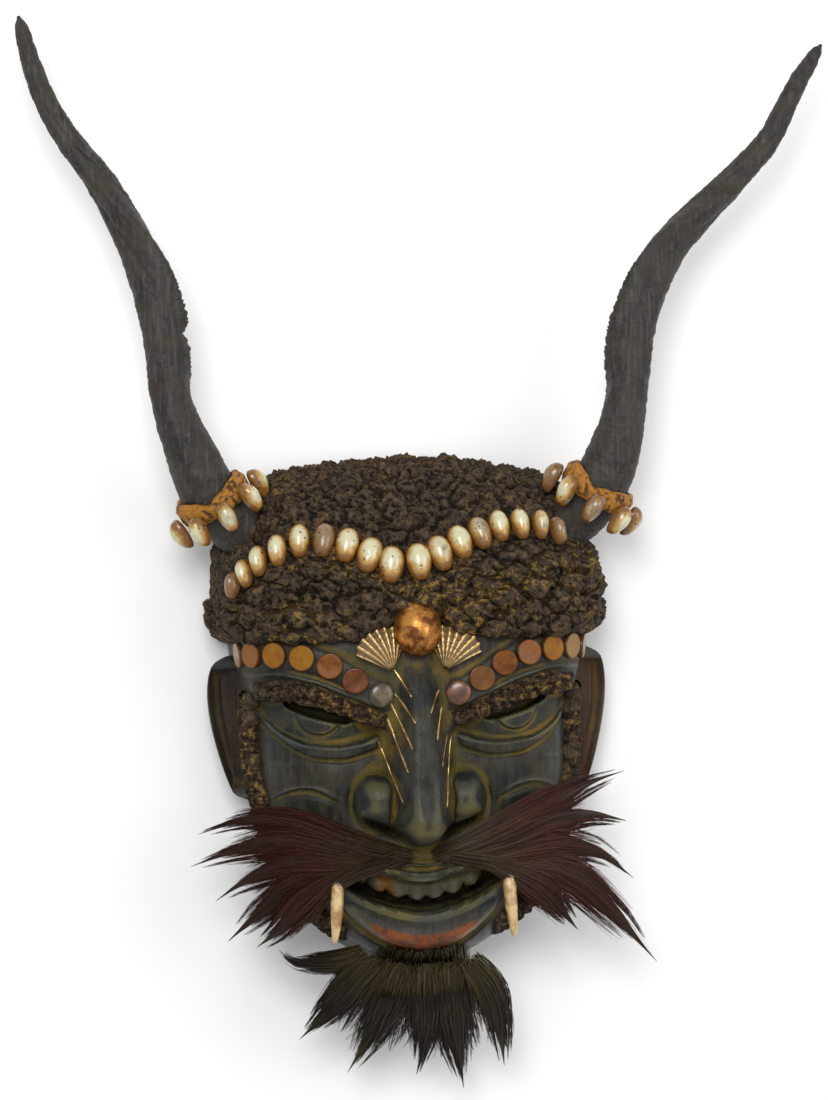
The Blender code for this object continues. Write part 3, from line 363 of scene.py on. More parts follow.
def closed_tube(rings):
    """Rings of points joined into a body: quads between them and a fan of faces over each end."""
    count, sides = rings.shape[:2]
    index = np.arange(count * sides).reshape(count, sides)
    beside = np.roll(index, -1, axis=1)
    cells = np.stack([index[:-1], beside[:-1], beside[1:], index[1:]], -1).reshape(-1, 4)
    first, last = count * sides, count * sides + 1
    fans = np.concatenate([np.stack([beside[0], index[0], np.full(sides, first)], -1),
                           np.stack([index[-1], beside[-1], np.full(sides, last)], -1)])
    points = np.concatenate([rings.reshape(-1, 3), [rings[0].mean(0)], [rings[-1].mean(0)]])
    return points, [cells, fans]


def swept_volume(points, faces):
    """Six times the volume inside, from the fan of triangles of every face: below zero if inside out."""
    total = 0.0
    for group in faces:
        first = points[group[:, 0]]
        for k in range(1, group.shape[1] - 1):
            total += (first * np.cross(points[group[:, k]], points[group[:, k + 1]])).sum()
    return total


def build(name, points, faces, finish, slot, values=None, merge=False, edges=60):
    """A piece that rides on the mask, from points, groups of faces and named values at its points."""
    points = np.asarray(points, float)
    if swept_volume(points - points.mean(0), faces) < 0:
        faces = [group[:, ::-1] for group in faces]
    mesh = bpy.data.meshes.new(name)
    corners = np.concatenate([group.ravel() for group in faces])
    sizes = np.concatenate([np.full(len(group), group.shape[1]) for group in faces])
    mesh.vertices.add(len(points))
    mesh.loops.add(len(corners))
    mesh.polygons.add(len(sizes))
    mesh.vertices.foreach_set("co", points.ravel())
    mesh.loops.foreach_set("vertex_index", corners)
    mesh.polygons.foreach_set("loop_start", np.cumsum(sizes) - sizes)
    mesh.update(calc_edges=True)
    for label, value in (values or {}).items():
        full = np.zeros(len(points))
        value = np.asarray(value, float).ravel()
        full[:len(value)] = value
        mesh.attributes.new(label, "FLOAT", "POINT").data.foreach_set("value", full)
    if merge:
        joined = bmesh.new()
        joined.from_mesh(mesh)
        bmesh.ops.remove_doubles(joined, verts=joined.verts, dist=2e-6)
        bmesh.ops.dissolve_degenerate(joined, edges=joined.edges, dist=1e-7)
        bmesh.ops.recalc_face_normals(joined, faces=joined.faces)
        joined.to_mesh(mesh)
        joined.free()
    mesh.validate()
    mesh.shade_smooth()
    mesh.set_sharp_from_angle(angle=math.radians(edges))
    mesh.materials.append(finish)
    made = bpy.data.objects.new(name, mesh)
    bpy.context.scene.collection.objects.link(made)
    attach(made, "root")
    return made


class Gathered:
    """Many small bodies gathered into one mesh, with named values at their points."""

    def __init__(self):
        self.points, self.faces, self.values, self.count = [], [], {}, 0

    def take(self, points, faces, **values):
        self.points.append(points)
        self.faces += [np.asarray(group) + self.count for group in faces]
        self.count += len(points)
        for label, value in values.items():
            full = np.broadcast_to(np.asarray(value, float), (len(points),)) if np.ndim(value) == 0 else value
            self.values.setdefault(label, []).append(full)

    def build(self, name, finish, slot, **how):
        by_size = {}
        for group in self.faces:
            by_size.setdefault(group.shape[1], []).append(group)
        faces = [np.concatenate(groups) for groups in by_size.values()]
        values = {label: np.concatenate(parts) for label, parts in self.values.items()}
        return build(name, np.concatenate(self.points), faces, finish, slot, values, **how)


def on_wood(x, y, lift=0.0, step=1.5):
    """Point and outward normal of the wood at grid position (x, y), from its slopes over a small step."""
    px, py = np.array([x - step, x + step, x, x, x]), np.array([y, y, y - step, y + step, y])
    z = carved_height(px, py)
    along_x = np.array([2 * step, 0, z[1] - z[0]]) * SQUARE
    along_y = np.array([0, 2 * step, z[3] - z[2]]) * SQUARE
    normal = np.cross(along_x, along_y)
    normal /= np.linalg.norm(normal)
    return np.array([x, y, z[4]]) * SQUARE + normal * lift, normal


def on_block(x, y, lift=0.0):
    """The same with the slope taken over a wider step, for pieces that lie on the head as a whole."""
    return on_wood(x, y, lift, step=4.0)


def turned_frame(normal, up):
    """Rotation whose z axis is the normal and whose y axis leans towards up."""
    z = Vector(normal).normalized()
    x = Vector(up).cross(z).normalized()
    return Matrix((x, z.cross(x), z)).transposed().to_4x4()


def placed(points, at, normal, up=(0, 1, 0), turn=0.0):
    """Points of a small piece, turned so that its z is the normal, and moved to its place."""
    frame_of_piece = turned_frame(normal, up) @ Matrix.Rotation(turn, 4, "Z")
    return points @ np.array(frame_of_piece.to_3x3()).T + np.asarray(at)


def hollow_back():
    """The gouged inside: a shallower dome within the rim's wall, as a coarse grid."""
    share, across, up = disc_grid(HOLLOW_GRID)
    angle = np.degrees(np.abs(np.arctan2(across, up)))
    direction = np.stack([across, up], -1) * SQUARE[:2]
    wall = RIM_WALL / np.linalg.norm(direction, axis=-1, keepdims=True)
    middle = np.array([0, CENTRE_Y]) * SQUARE[:2]
    flat = middle + share[..., None] * direction * (smooth(angle, OUTLINE)[..., None] - wall)
    rising = dome(share, angle, 1)
    level = np.concatenate([flat, 0 * rising[..., None]], -1)
    gouged = 0.0006 * unevenness(level, 0.018, 8, 2) * (rising > 0.3)
    return np.concatenate([flat, (rising * HOLLOW_DEPTH + gouged)[..., None]], -1)


def painted_places(x, y):
    """Where the wood is painted or differs: the lower lip's red, the teeth, and painted shade in the recessed
    mouth, eye slits and nostrils.
    """
    ax = np.abs(x)
    base = lip_base(x)
    bound = 24 + 0.0075 * x ** 2
    red = ramp(y, base + 0.2, base + 1.8) * (1 - ramp(y, bound - 0.8, bound + 0.8)) * (1 - ramp(ax, 28, 35))
    inside_mouth = mouth_opening(ax, y, 38, 41)
    ends, _ = tooth_line(x)
    tooth = inside_mouth * ramp(y, ends - 0.5, ends + 1.5)
    edge = smooth(ax, BROW_EDGE)
    opening = 4.8 * np.sqrt(np.clip(1 - ((ax - 59) / 20) ** 2, 0, 1))
    slit = ramp(y, edge - opening - 1.5, edge - opening + 3) * (1 - ramp(y, edge, edge + 1.5))
    slit = slit * (opening > 0.5)
    nostril = ramp(5.0 - np.abs(y - nostril_line(ax)), 0, 3) * ramp(ax, 7, 13) * (1 - ramp(ax, 30, 37))
    # Painted shade: the recessed mouth below the teeth, the eye slits and the nostrils.
    deep = np.maximum.reduce([inside_mouth * (1 - ramp(y, ends - 2.0, ends + 0.2)), slit, 0.8 * nostril])
    amber = mound(x, y, (-22, 53), (5, 7), 4) * tooth
    return {"deep": deep, "red_lip": red, "tooth": tooth, "amber_tooth": amber}


def carved_wood(finish):
    """The hollow carved mask: a fine grid outside, a coarser one inside, joined on the flat back rim."""
    share, across, up = disc_grid(WOOD_GRID)
    angle = np.degrees(np.abs(np.arctan2(across, up)))
    reach = smooth(angle, OUTLINE)
    x, y = share * reach * across, CENTRE_Y + share * reach * up
    height = dome(share, angle) + carved_height(x, y) - dome(*rim_share(x, y))
    outer = np.stack([x, y, height], -1) * SQUARE
    inside = (share < 0.985)[..., None]
    outer += grid_normals(outer) * inside * 0.00016 * unevenness(outer, 0.020, 3)[..., None]
    values = {"hollow": hollow_of(outer, 45), "crevice": hollow_of(outer, 7), **painted_places(x, y)}
    points, faces = closed_pair(outer, hollow_back())
    made = build("carved_mask_fine", points, faces, finish, "blackened_wood", values)
    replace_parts(made, "carved_mask")


def ears(finish):
    """Leaf shaped ears: a rolled edge, a dished inside and a low fold along it."""
    for side, sign in SIDES:
        rows = np.sin(np.linspace(-math.pi / 2, math.pi / 2, 81))
        v, u = np.meshgrid(rows, np.linspace(-1, 1, 49), indexing="ij")
        half = np.sqrt(np.clip(1 - v ** 2, 0.0, 1)) * (1 + 0.38 * v)
        edge = np.clip(np.maximum(np.abs(u), np.abs(v)), 0, 1)
        roll = 0.42 * mound(edge, 0 * edge, (0.86, 0), (0.075, 1))
        fold = 0.30 * mound(u, v, (-0.18 * sign - 0.20 * v * sign, -0.05), (0.15, 0.60), 3)
        fold = fold + 0.16 * mound(u, v, (0.45 * sign, 0.30), (0.10, 0.40), 3)
        dish = 0.04 + 0.30 * edge ** 4
        front = EAR_THICKNESS * (dish + roll + fold) * (1 - ramp(edge, 0.93, 1)) * (half > 1e-6)
        back = -EAR_THICKNESS * 0.45 * (1 - edge ** 3)
        x, y = u * half * EAR_WIDTH / 2, v * EAR_LENGTH / 2
        top = np.stack([x, y, front], -1)
        middle = np.array([sign * 104.5, 145, 27]) * SQUARE
        place_at = (middle, (sign * 0.62, -0.05, 0.80), (sign * 0.10, 1, 0))
        top = placed(top, *place_at)
        low = placed(np.stack([x, y, back], -1), *place_at)
        points, faces = closed_pair(top, low)
        values = {"hollow": 1.4 * hollow_of(top, 9), "crevice": hollow_of(top, 3),
                  "ear_inside": 1 - ramp(edge, 0.76, 0.92), "right_side": 0 * edge + (side == "right")}
        build(f"ear_{side}", points, faces, finish, "blackened_wood", values, merge=True)


def crown_grid(a, b):
    """Points of the head in squares and the dome's normals, for places on a square bent onto the disc."""
    across = a * np.sqrt(1 - b ** 2 / 2)
    up = b * np.sqrt(1 - a ** 2 / 2)
    out = np.maximum(np.hypot(across, up), 1e-9)
    spread = disc_grid(400)[0][200:, 200]
    share = np.interp(out, np.linspace(0, 1, len(spread)), spread)
    angle = np.degrees(np.abs(np.arctan2(across, up)))
    reach = smooth(angle, OUTLINE)
    height = dome(share, angle)
    boxy = smooth(angle, BOXINESS) - 1
    leaning = share ** boxy / reach
    rising = (height / SQUARES_DEEP) ** boxy / SQUARES_DEEP
    normal = np.stack([leaning * across / out, leaning * up / out, rising], -1) / SQUARE
    normal /= np.linalg.norm(normal, axis=-1, keepdims=True)
    x, y = share * reach * across / out, CENTRE_Y + share * reach * up / out
    return np.stack([x, y, carved_height(x, y)], -1), normal


def nearest_of(points, centres, how_many):
    """Distances from each point to its nearest centres, and which they are, worked out in batches."""
    flat = points.reshape(-1, 3)
    distance = np.empty((len(flat), how_many))
    which = np.empty((len(flat), how_many), int)
    for start in range(0, len(flat), 6000):
        apart = ((flat[start:start + 6000, None] - centres[None]) ** 2).sum(-1)
        order = np.argpartition(apart, how_many, axis=1)[:, :how_many]
        near = np.take_along_axis(apart, order, 1)
        rank = np.argsort(near, axis=1)
        which[start:start + 6000] = np.take_along_axis(order, rank, 1)
        distance[start:start + 6000] = np.sqrt(np.take_along_axis(near, rank, 1))
    return distance.reshape(*points.shape[:2], how_many), which.reshape(*points.shape[:2], how_many)


def spaced_centres(points, pitch, seed):
    """Chance places on a grid of points, each at least a pitch from those before it."""
    chance = np.random.default_rng(seed)
    flat = points.reshape(-1, 3)
    tried = flat[chance.permutation(len(flat))[:9000]]
    kept = tried[:1]
    for point in tried[1:]:
        if ((kept - point) ** 2).sum(1).min() >= pitch ** 2:
            kept = np.vstack([kept, point])
    return kept


def clods(points, pitch, height, seed):
    """Rise of rounded clods with clefts between them: the gap between a point's two nearest centres."""
    centres = spaced_centres(points, pitch * 0.80, seed)
    bent = points + 0.0016 * np.stack([unevenness(points, 0.010, seed + k) for k in (1, 2, 3)], -1)
    distance, which = nearest_of(bent, centres, 2)
    chance = np.random.default_rng(seed).uniform(0.55, 1.0, len(centres))
    cleft = np.clip((distance[..., 1] - distance[..., 0]) / (0.55 * pitch), 0, 1)
    round_top = np.sqrt(np.clip(1 - (distance[..., 0] / (0.72 * pitch)) ** 2, 0, 1))
    return height * chance[which[..., 0]] * round_top * (0.50 + 0.50 * cleft ** 0.6)


def hair_crust(finish):
    """The paste over the crown: clods in a fine grid from the hairline to just above the back rim."""
    columns, rows = CRUST_COLUMNS, CRUST_ROWS
    a = np.linspace(-CRUST_SIDE, CRUST_SIDE, columns)
    b = np.linspace(0, 1, 800)[:, None]
    tried, _ = crown_grid(a[None] + 0 * b, b + 0 * a[None])
    x = tried[..., 0]
    hairline = 196.5 + 14 * np.exp(-(x / 23) ** 2) + 1.3 * np.sin(x * 0.43 + 2 * np.sin(x * 0.11))
    first = b[np.argmax(tried[..., 1] > hairline, axis=0), 0]
    first = np.convolve(np.pad(first, 3, mode="edge"), np.ones(7) / 7, "valid")
    last = np.sqrt(1 - (1 - CRUST_REACH ** 2) / (1 - a ** 2))
    b = first[None] + (last - first)[None] * np.linspace(0, 1, rows)[:, None]
    squares, normals = crown_grid(a[None] + 0 * b, b)
    ground = squares * SQUARE
    off_garland = squares[..., 1] - smooth(squares[..., 0], GARLAND)
    bare = np.exp(-(off_garland / 12.5) ** 6)
    below = 1 - ramp(off_garland, -4, 14)
    large = clods(ground * (0.86, 1.12, 1), KNOT_PITCH * 1.15, 0.0092, 21)
    small = clods(ground, 0.0060, 0.0036, 22)
    grain = clods(ground, 0.0029, 0.0019, 23)
    crumbs = 0.00055 * unevenness(ground, 0.0042, 24)
    rise = large * (0.62 + 0.38 * below) + small * (0.62 - 0.12 * below) + 0.75 * grain + crumbs
    row, column = np.indices((rows, columns))
    edge = np.minimum.reduce([row, rows - 1 - row, column, columns - 1 - column])
    body = CRUST_GAP + CRUST_EDGE + (CRUST_THICKNESS - CRUST_EDGE) * ramp(edge, 0, 9) - 0.0022
    lift = body + rise * (1 - 0.55 * bare) * (0.55 + 0.45 * ramp(edge, 0, 4))
    top = ground + normals * lift[..., None]
    top[..., 2] = np.maximum(top[..., 2], 0.0005)
    base = (ground - normals * 0.0004)[::5, ::5]
    points, faces = closed_pair(top, base)
    values = {"hollow": hollow_of(top, 30), "crevice": hollow_of(top, 5), "lower": below}
    made = build("hair_crust_fine", points, faces, finish, "knotted_paste", values)
    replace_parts(made, "hair_crust")


def strip(node, middle, half_width, thickness, finish, seed):
    """A strip of clods along a line of grid positions: an arched band with clods pushed out of it."""
    count, across = len(middle), 41
    points, normals = zip(*[on_block(*p) for p in middle])
    points, normals = np.array(points), np.array(normals)
    ahead = np.gradient(points, axis=0)
    beside = np.cross(normals, ahead)
    beside /= np.linalg.norm(beside, axis=1, keepdims=True)
    u = np.linspace(-1, 1, across)
    step = np.arange(count)
    half_width = half_width * (1 + 0.15 * np.sin(step * 0.19 + 2.2 * np.sin(step * 0.071)))
    ground = points[:, None] + beside[:, None] * (u[None, :] * half_width[:, None])[..., None]
    out = normals[:, None] * np.ones((1, across, 1))
    ends = np.sqrt(np.clip(1 - np.linspace(-1, 1, count) ** 8, 0, 1))[:, None]
    crown = np.sqrt(np.clip(1 - 0.9 * u[None] ** 4, 0, 1)) * ends
    rise = clods(ground, 0.0078, 0.0052, seed) + clods(ground, 0.0032, 0.0018, seed + 5)
    top = ground + out * (crown * (0.45 * thickness + rise))[..., None]
    points, faces = closed_pair(top, (ground - out * SINK)[::4, ::4])
    values = {"hollow": hollow_of(top, 12), "crevice": hollow_of(top, 3), "lower": 0.6 + 0 * rise}
    made = build(f"{node}_fine", points, faces, finish, "knotted_paste", values)
    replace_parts(made, node)


def eyebrows(finish):
    for side, sign in SIDES:
        ax = np.linspace(20, 95, 241)
        middle = [(sign * a, b) for a, b in zip(ax, smooth(ax, EYEBROW))]
        half = np.interp(ax, [20, 50, 80, 95], [3.5, 5.2, 6.2, 6.0]) * SQUARE[1]
        strip(f"eyebrow_{side}", middle, half, EYEBROW_THICKNESS, finish, 31 + sign)


def sideburns(finish):
    """Clods from in front of each ear down to the jaw, just outside the edge of the face."""
    for side, sign in SIDES:
        angle = np.linspace(80, 161, 321)
        share = np.interp(angle, [80, 100, 130, 161], [0.955, 0.955, 0.95, 0.93])
        reach = smooth(angle, OUTLINE) * share
        middle = [(sign * r * math.sin(math.radians(a)), CENTRE_Y + r * math.cos(math.radians(a)))
                  for a, r in zip(angle, reach)]
        half = np.full(len(angle), SIDEBURN_WIDTH / 2)
        strip(f"sideburn_{side}", middle, half, SIDEBURN_THICKNESS, finish, 41 + sign)


def cowrie(length, width, height):
    """An egg: circles of a radius that leans to one end, flattened below, with a notch at the tip."""
    along = np.linspace(0, math.pi, 19)[1:-1]
    level = -np.cos(along)
    radius = np.sqrt(1 - level ** 2) ** 0.84 * (1 + 0.12 * level)
    turn = around(24) + math.pi / 2
    x = radius[:, None] * np.cos(turn) * width / 2
    z = radius[:, None] * np.sin(turn)
    hump = 1 + 0.10 * mound(level[:, None], 0 * turn, (0.25, 0), (0.45, 1))
    z = np.where(z > 0, z * height * 0.72 * hump, z * height * 0.28)
    y = np.repeat(level[:, None] * length / 2, len(turn), axis=1)
    notch = 0.0007 * mound(level[:, None] + 0 * turn, x, (-0.92, 0), (0.10, 0.0012))
    points, faces = closed_tube(np.stack([x, y + notch, z], -1))
    dorsal = np.clip(points[:, 2] / (height * 0.72), 0, 1)
    return points, faces, dorsal, points[:, 1] / (length / 2)


def garland(finish):
    """Cowries side by side on the hair, evenly spaced along the garland's line."""
    line = np.linspace(GARLAND[0][0], GARLAND[-1][0], 300)
    points = np.array([on_block(x, y)[0] for x, y in zip(line, smooth(line, GARLAND))])
    length = length_along(points)
    sizes = 1 - 0.26 * (np.abs(np.linspace(0, 1, GARLAND_SHELLS) - 0.52) / 0.52) ** 1.5
    reached = np.concatenate([[0], np.cumsum(sizes[1:] ** 2 + sizes[:-1] ** 2)])
    stained = {0: 0.95, 5: 0.85, 12: 0.60, 16: 0.75, 10: 0.35, 15: 0.45}
    shells = Gathered()
    for i in range(GARLAND_SHELLS):
        x = np.interp(length[-1] * reached[i] / reached[-1], length, line)
        size = sizes[i]
        lift = CRUST_THICKNESS + CRUST_GAP + 0.28 * SHELL_HEIGHT + CLEARANCE
        at, normal = on_block(x, smooth(x, GARLAND), lift)
        room = SHELL_ROOM * 2 * size ** 2 * length[-1] / reached[-1]
        shape, faces, dorsal, along = cowrie(SHELL_LENGTH * size, room, SHELL_HEIGHT * (0.9 + 0.25 * size))
        ahead = on_block(x + 1, smooth(x + 1, GARLAND))[0] - on_block(x - 1, smooth(x - 1, GARLAND))[0]
        square_to_line = np.cross(normal, ahead / np.linalg.norm(ahead))
        lean = math.radians(6 * math.tanh(x / 35) + 3 * math.sin(7.0 * i))
        shells.take(placed(shape, at, normal, square_to_line + (0, 1.8, 0), lean), faces,
                    dorsal=dorsal, along=along,
                    stain=stained.get(i, 0.12 + 0.10 * math.sin(5.0 * i)))
    made = shells.build("cowrie_garland", finish, "cowrie_shell")
    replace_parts(made, *[f"garland_shell_{i + 1:02d}" for i in range(GARLAND_SHELLS)])


def brow_discs(amber, dark):
    """Thin discs of horn along both brow bands, slightly dished, and a bead at the inner end of each."""
    tones = {"left": (0.10, 0.28, 0.72, 0.66, 0.52, 0.45),
             "right": (0.12, 0.24, 0.34, 0.62, 0.55, 0.40, 0.35)}
    pale = {"left": (0.0, 0.0, 0.0, 0.05, 0.05, 0.75), "right": (0.22, 0.0, 0.0, 0.10, 0.85, 0.60, 0.70)}
    discs, beads = Gathered(), Gathered()
    turn = around(40)
    for side, count, pitch in (("left", DISCS_LEFT, DISC_PITCH_LEFT),
                               ("right", DISCS_RIGHT, DISC_PITCH_RIGHT)):
        sign = -1 if side == "left" else 1
        line = np.linspace(23, 107, 200)
        points = np.array([on_wood(sign * a, b)[0] for a, b in zip(line, smooth(line, BROW_BAND))])
        length = length_along(points)
        for i in range(count + 1):
            a = np.interp(i * pitch, length, line)
            at, normal = on_wood(sign * a, float(smooth(a, BROW_BAND)), -DISC_THICKNESS * 0.40)
            bead = i == 0
            radius = (BEAD_DIAMETER if bead else DISC_DIAMETER) / 2
            out = np.array([0.97, 1.0, 1.0, 0.985, 0.94, 0.86, 0.70, 0.45, 0.20])
            high = np.array([0, 0.15, 0.82, 0.94, 1.0, 1.0, 0.985, 0.96, 0.95])
            if bead:
                high = np.array([0, 0.15, 0.70, 0.86, 1.0, 1.12, 1.22, 1.28, 1.30])
            wander = 1 + 0.018 * np.sin(2 * turn + i) + 0.010 * np.sin(3 * turn + 2 * i)
            reach = radius * out[:, None] * wander
            rings = np.stack([reach * np.cos(turn), reach * np.sin(turn),
                              DISC_THICKNESS * np.repeat(high[:, None], len(turn), 1)], -1)
            shape, faces = closed_tube(rings)
            out_share = np.hypot(shape[:, 0], shape[:, 1]) / radius
            put = placed(shape, at, normal)
            if bead:
                beads.take(put, faces, out=out_share, warm=0.15 if side == "left" else 0.9)
            else:
                discs.take(put, faces, out=out_share, tone=tones[side][i - 1], pale=pale[side][i - 1])
    names = [f"brow_disc_{side}_{i + 1}" for side, count in (("left", DISCS_LEFT), ("right", DISCS_RIGHT))
             for i in range(count)]
    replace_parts(discs.build("brow_discs_fine", amber, "amber_disc", edges=50), *names)
    made = beads.build("brow_beads_fine", dark, "dark_bead", edges=50)
    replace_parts(made, "brow_bead_left", "brow_bead_right")


def forehead_boss(finish):
    """An egg of thin gilded metal: a sphere scaled three ways, with the flats left by the hammer."""
    down, turn = np.linspace(0, math.pi, 50)[1:-1], around(72)
    ball = np.stack([np.sin(down)[:, None] * np.cos(turn), np.sin(down)[:, None] * np.sin(turn),
                     np.cos(down)[:, None] + 0 * turn], -1)
    centres = spaced_centres(ball, 0.40, 5)
    beaten = nearest_of(ball, centres, 1)[0][..., 0]
    ball = ball * (1 - 0.030 * (0.30 - beaten))[..., None]
    shape, faces = closed_tube(ball * np.array([BOSS_WIDTH / 2, BOSS_LENGTH / 2, BOSS_HEIGHT]))
    at, normal = on_block(0, 202.5, 0.35 * BOSS_HEIGHT)
    made = build("forehead_boss_fine", placed(shape, at, normal), faces, finish, "worn_gilt")
    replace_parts(made, "forehead_boss")


def scallops(finish):
    """Ribbed fan shells: reach and arch from the spread angle, with rounded ribs along the rays."""
    for side, sign in SIDES:
        spread = np.radians(np.linspace(-44, 44, 16 * SCALLOP_RIBS + 1))
        out = np.linspace(0.10, 1, 33)[:, None]
        edge = spread / spread[-1]
        wave = np.cos(math.pi * SCALLOP_RIBS * edge)
        reach = SCALLOP_LENGTH * out * np.sqrt(1 - 0.25 * edge ** 4) * (1 + 0.025 * out * wave)
        arch = np.sin(np.pi * (0.18 + 0.70 * out)) * np.sqrt(np.clip(1 - 0.85 * edge ** 2, 0, 1))
        rib = 0.10 * out * np.sign(wave) * np.abs(wave) ** 0.85
        growth = 0.02 * np.sin(out * 46)
        height = SCALLOP_HEIGHT * (arch + rib + growth)
        top = np.stack([reach * np.sin(spread), reach * np.cos(spread), height], -1)
        low = (top * np.array([1, 1, 0]) - np.array([0, 0, SINK * 0.6]))[::4, ::4]
        ridge = np.repeat(np.clip(0.62 + 0.62 * wave[None], 0, 1), len(out), 0)
        at, normal = on_wood(sign * 16.5, 178, 0.0012)
        _, outer_normal = on_wood(sign * 26, 191)
        how = (at, normal + 0.6 * outer_normal, (sign * 0.34, 0.94, 0))
        points, faces = closed_pair(placed(top, *how), placed(low, *how))
        made = build(f"scallop_{side}_fine", points, faces, finish, "gilded_shell", {"ridge": ridge},
                     edges=80)
        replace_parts(made, f"scallop_{side}")


def along_path(control, count):
    """Evenly spaced points on a smooth curve through the control points, with each one's share."""
    control = np.array(control, float)
    at = length_along(control)
    fine = np.linspace(0, at[-1], 400)
    slope = np.gradient(control, at, axis=0)
    i = np.clip(np.searchsorted(at, fine) - 1, 0, len(at) - 2)
    width = (at[i + 1] - at[i])[:, None]
    t = (fine[:, None] - at[i][:, None]) / width
    path = (control[i] * (1 + 2 * t) * (1 - t) ** 2 + control[i + 1] * t * t * (3 - 2 * t)
            + width * t * (1 - t) * (slope[i] * (1 - t) - slope[i + 1] * t))
    length = length_along(path)
    share = np.linspace(0, 1, count)
    return np.stack([np.interp(share * length[-1], length, path[:, k]) for k in range(3)], -1), share


def cross_axes(path, side_axis=(0, 0, 1)):
    """Two unit directions square to a path at each of its points."""
    ahead = np.gradient(path, axis=0)
    ahead /= np.linalg.norm(ahead, axis=1, keepdims=True)
    second = np.array(side_axis, float) - (ahead @ np.array(side_axis, float))[:, None] * ahead
    second /= np.linalg.norm(second, axis=1, keepdims=True)
    return np.cross(second, ahead), second


def sections(path, widths, depths, sides, swell=1.0):
    """Rings across a path, as ellipses of the given half widths and depths, times a swelling."""
    first, second = cross_axes(path)
    turn = around(sides)[None]
    u = np.cos(turn) * swell * widths[:, None]
    v = np.sin(turn) * swell * depths[:, None]
    return path[:, None] + first[:, None] * u[..., None] + second[:, None] * v[..., None]


# Each horn's middle line: distance from the middle plane, height and depth, in squares
HORN_LINES = {
    "left": [(91, 257, 40), (108, 273, 46), (119, 287, 51), (127, 305, 56), (141, 343, 62), (146, 385, 60),
             (156, 427, 54), (175, 468, 52), (205, 512, 54), (215, 535, 54), (225, 574, 48)],
    "right": [(91, 257, 40), (108, 273, 46), (118, 287, 51), (126, 306, 56), (135, 343, 62), (143, 385, 60),
              (162, 427, 54), (202, 468, 52), (225, 492, 54), (246, 530, 56), (262, 553, 52)],
}
# Half thickness at evenly spaced places from base to tip, as a share of the base's
HORN_TAPER = [(0, 0.92), (0.08, 1.0), (0.15, 0.95), (0.24, 0.76), (0.31, 0.64), (0.40, 0.62), (0.50, 0.64),
              (0.58, 0.62), (0.66, 0.54), (0.75, 0.46), (0.85, 0.38), (0.94, 0.31), (0.985, 0.20), (1, 0.06)]


def horn_path(side, sign, count):
    control = np.array(HORN_LINES[side], float) * SQUARE * (sign, 1, 1)
    path, share = along_path(control, count)
    return path, share, smooth(share, HORN_TAPER) * HORN_THICKNESS / 2


def horns(finish):
    """Twisted horns: rings of growth across them, a sharp keel winding once round, and a smooth tip."""
    for side, sign in SIDES:
        sides = HORN_SIDES
        path, share, half = horn_path(side, sign, HORN_RINGS)
        angle = math.pi * (0.5 + sign * (2.1 * (share - 0.40) - 0.5))
        height = 0.62 * ramp(share, 0.20, 0.36) * (1 - ramp(share, 0.58, 0.80))
        if side == "left":
            chip = 0.50 * mound(share, 0 * share, (0.402, 0), (0.010, 1))
            height = height * (1 - chip - 0.22 * (share < 0.402))
        turn = around(sides)[None]
        apart = np.abs((turn - angle[:, None] + math.pi) % (2 * math.pi) - math.pi)
        keel = height[:, None] * np.exp(-(apart / 0.50) ** 1.5)
        creased = ramp(share, 0.40, 0.55) * (1 - ramp(share, 0.78, 0.92))
        crease_line = 0.10 * crease(apart - 0.95, 0.16) * creased[:, None]
        swell = 1 + keel - crease_line
        plain = sections(path, half * 0.97, half * 0.90, sides)
        along = share[:, None] * np.linalg.norm(np.diff(path, axis=0), axis=1).sum()
        along = along + 0.0011 * unevenness(plain, 0.030, 6, 2) + 0.0015 * np.cos(turn + sign)
        phase = along / 0.0028 + 0.9 * unevenness(plain, 0.016, 12, 2)
        ringed = ramp(share, 0.04, 0.16)[:, None] * (1 - ramp(share, 0.46, 0.56))[:, None]
        rings_of_growth = (np.abs(np.cos(math.pi * phase)) ** 0.8 - 0.5) * ringed * (0.35 + 1.5 * keel / 0.62)
        raised = 0.00085 * rings_of_growth + 0.00030 * unevenness(plain, 0.012, 9)
        raised = raised + 0.00016 * unevenness(plain, 0.003, 4)
        swell = swell + raised / half.clip(0.003)[:, None] * (1 - ramp(share, 0.97, 1))[:, None]
        rings = sections(path, half * 0.97, half * 0.90, sides, swell)
        points, faces = closed_tube(rings)
        groove = np.concatenate([-1000 * raised.ravel(), [0, 0]])
        made = build(f"horn_{side}_fine", points, faces, finish, "dark_horn",
                     {"hollow": 2 * groove, "crevice": groove})
        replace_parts(made, f"horn_{side}")


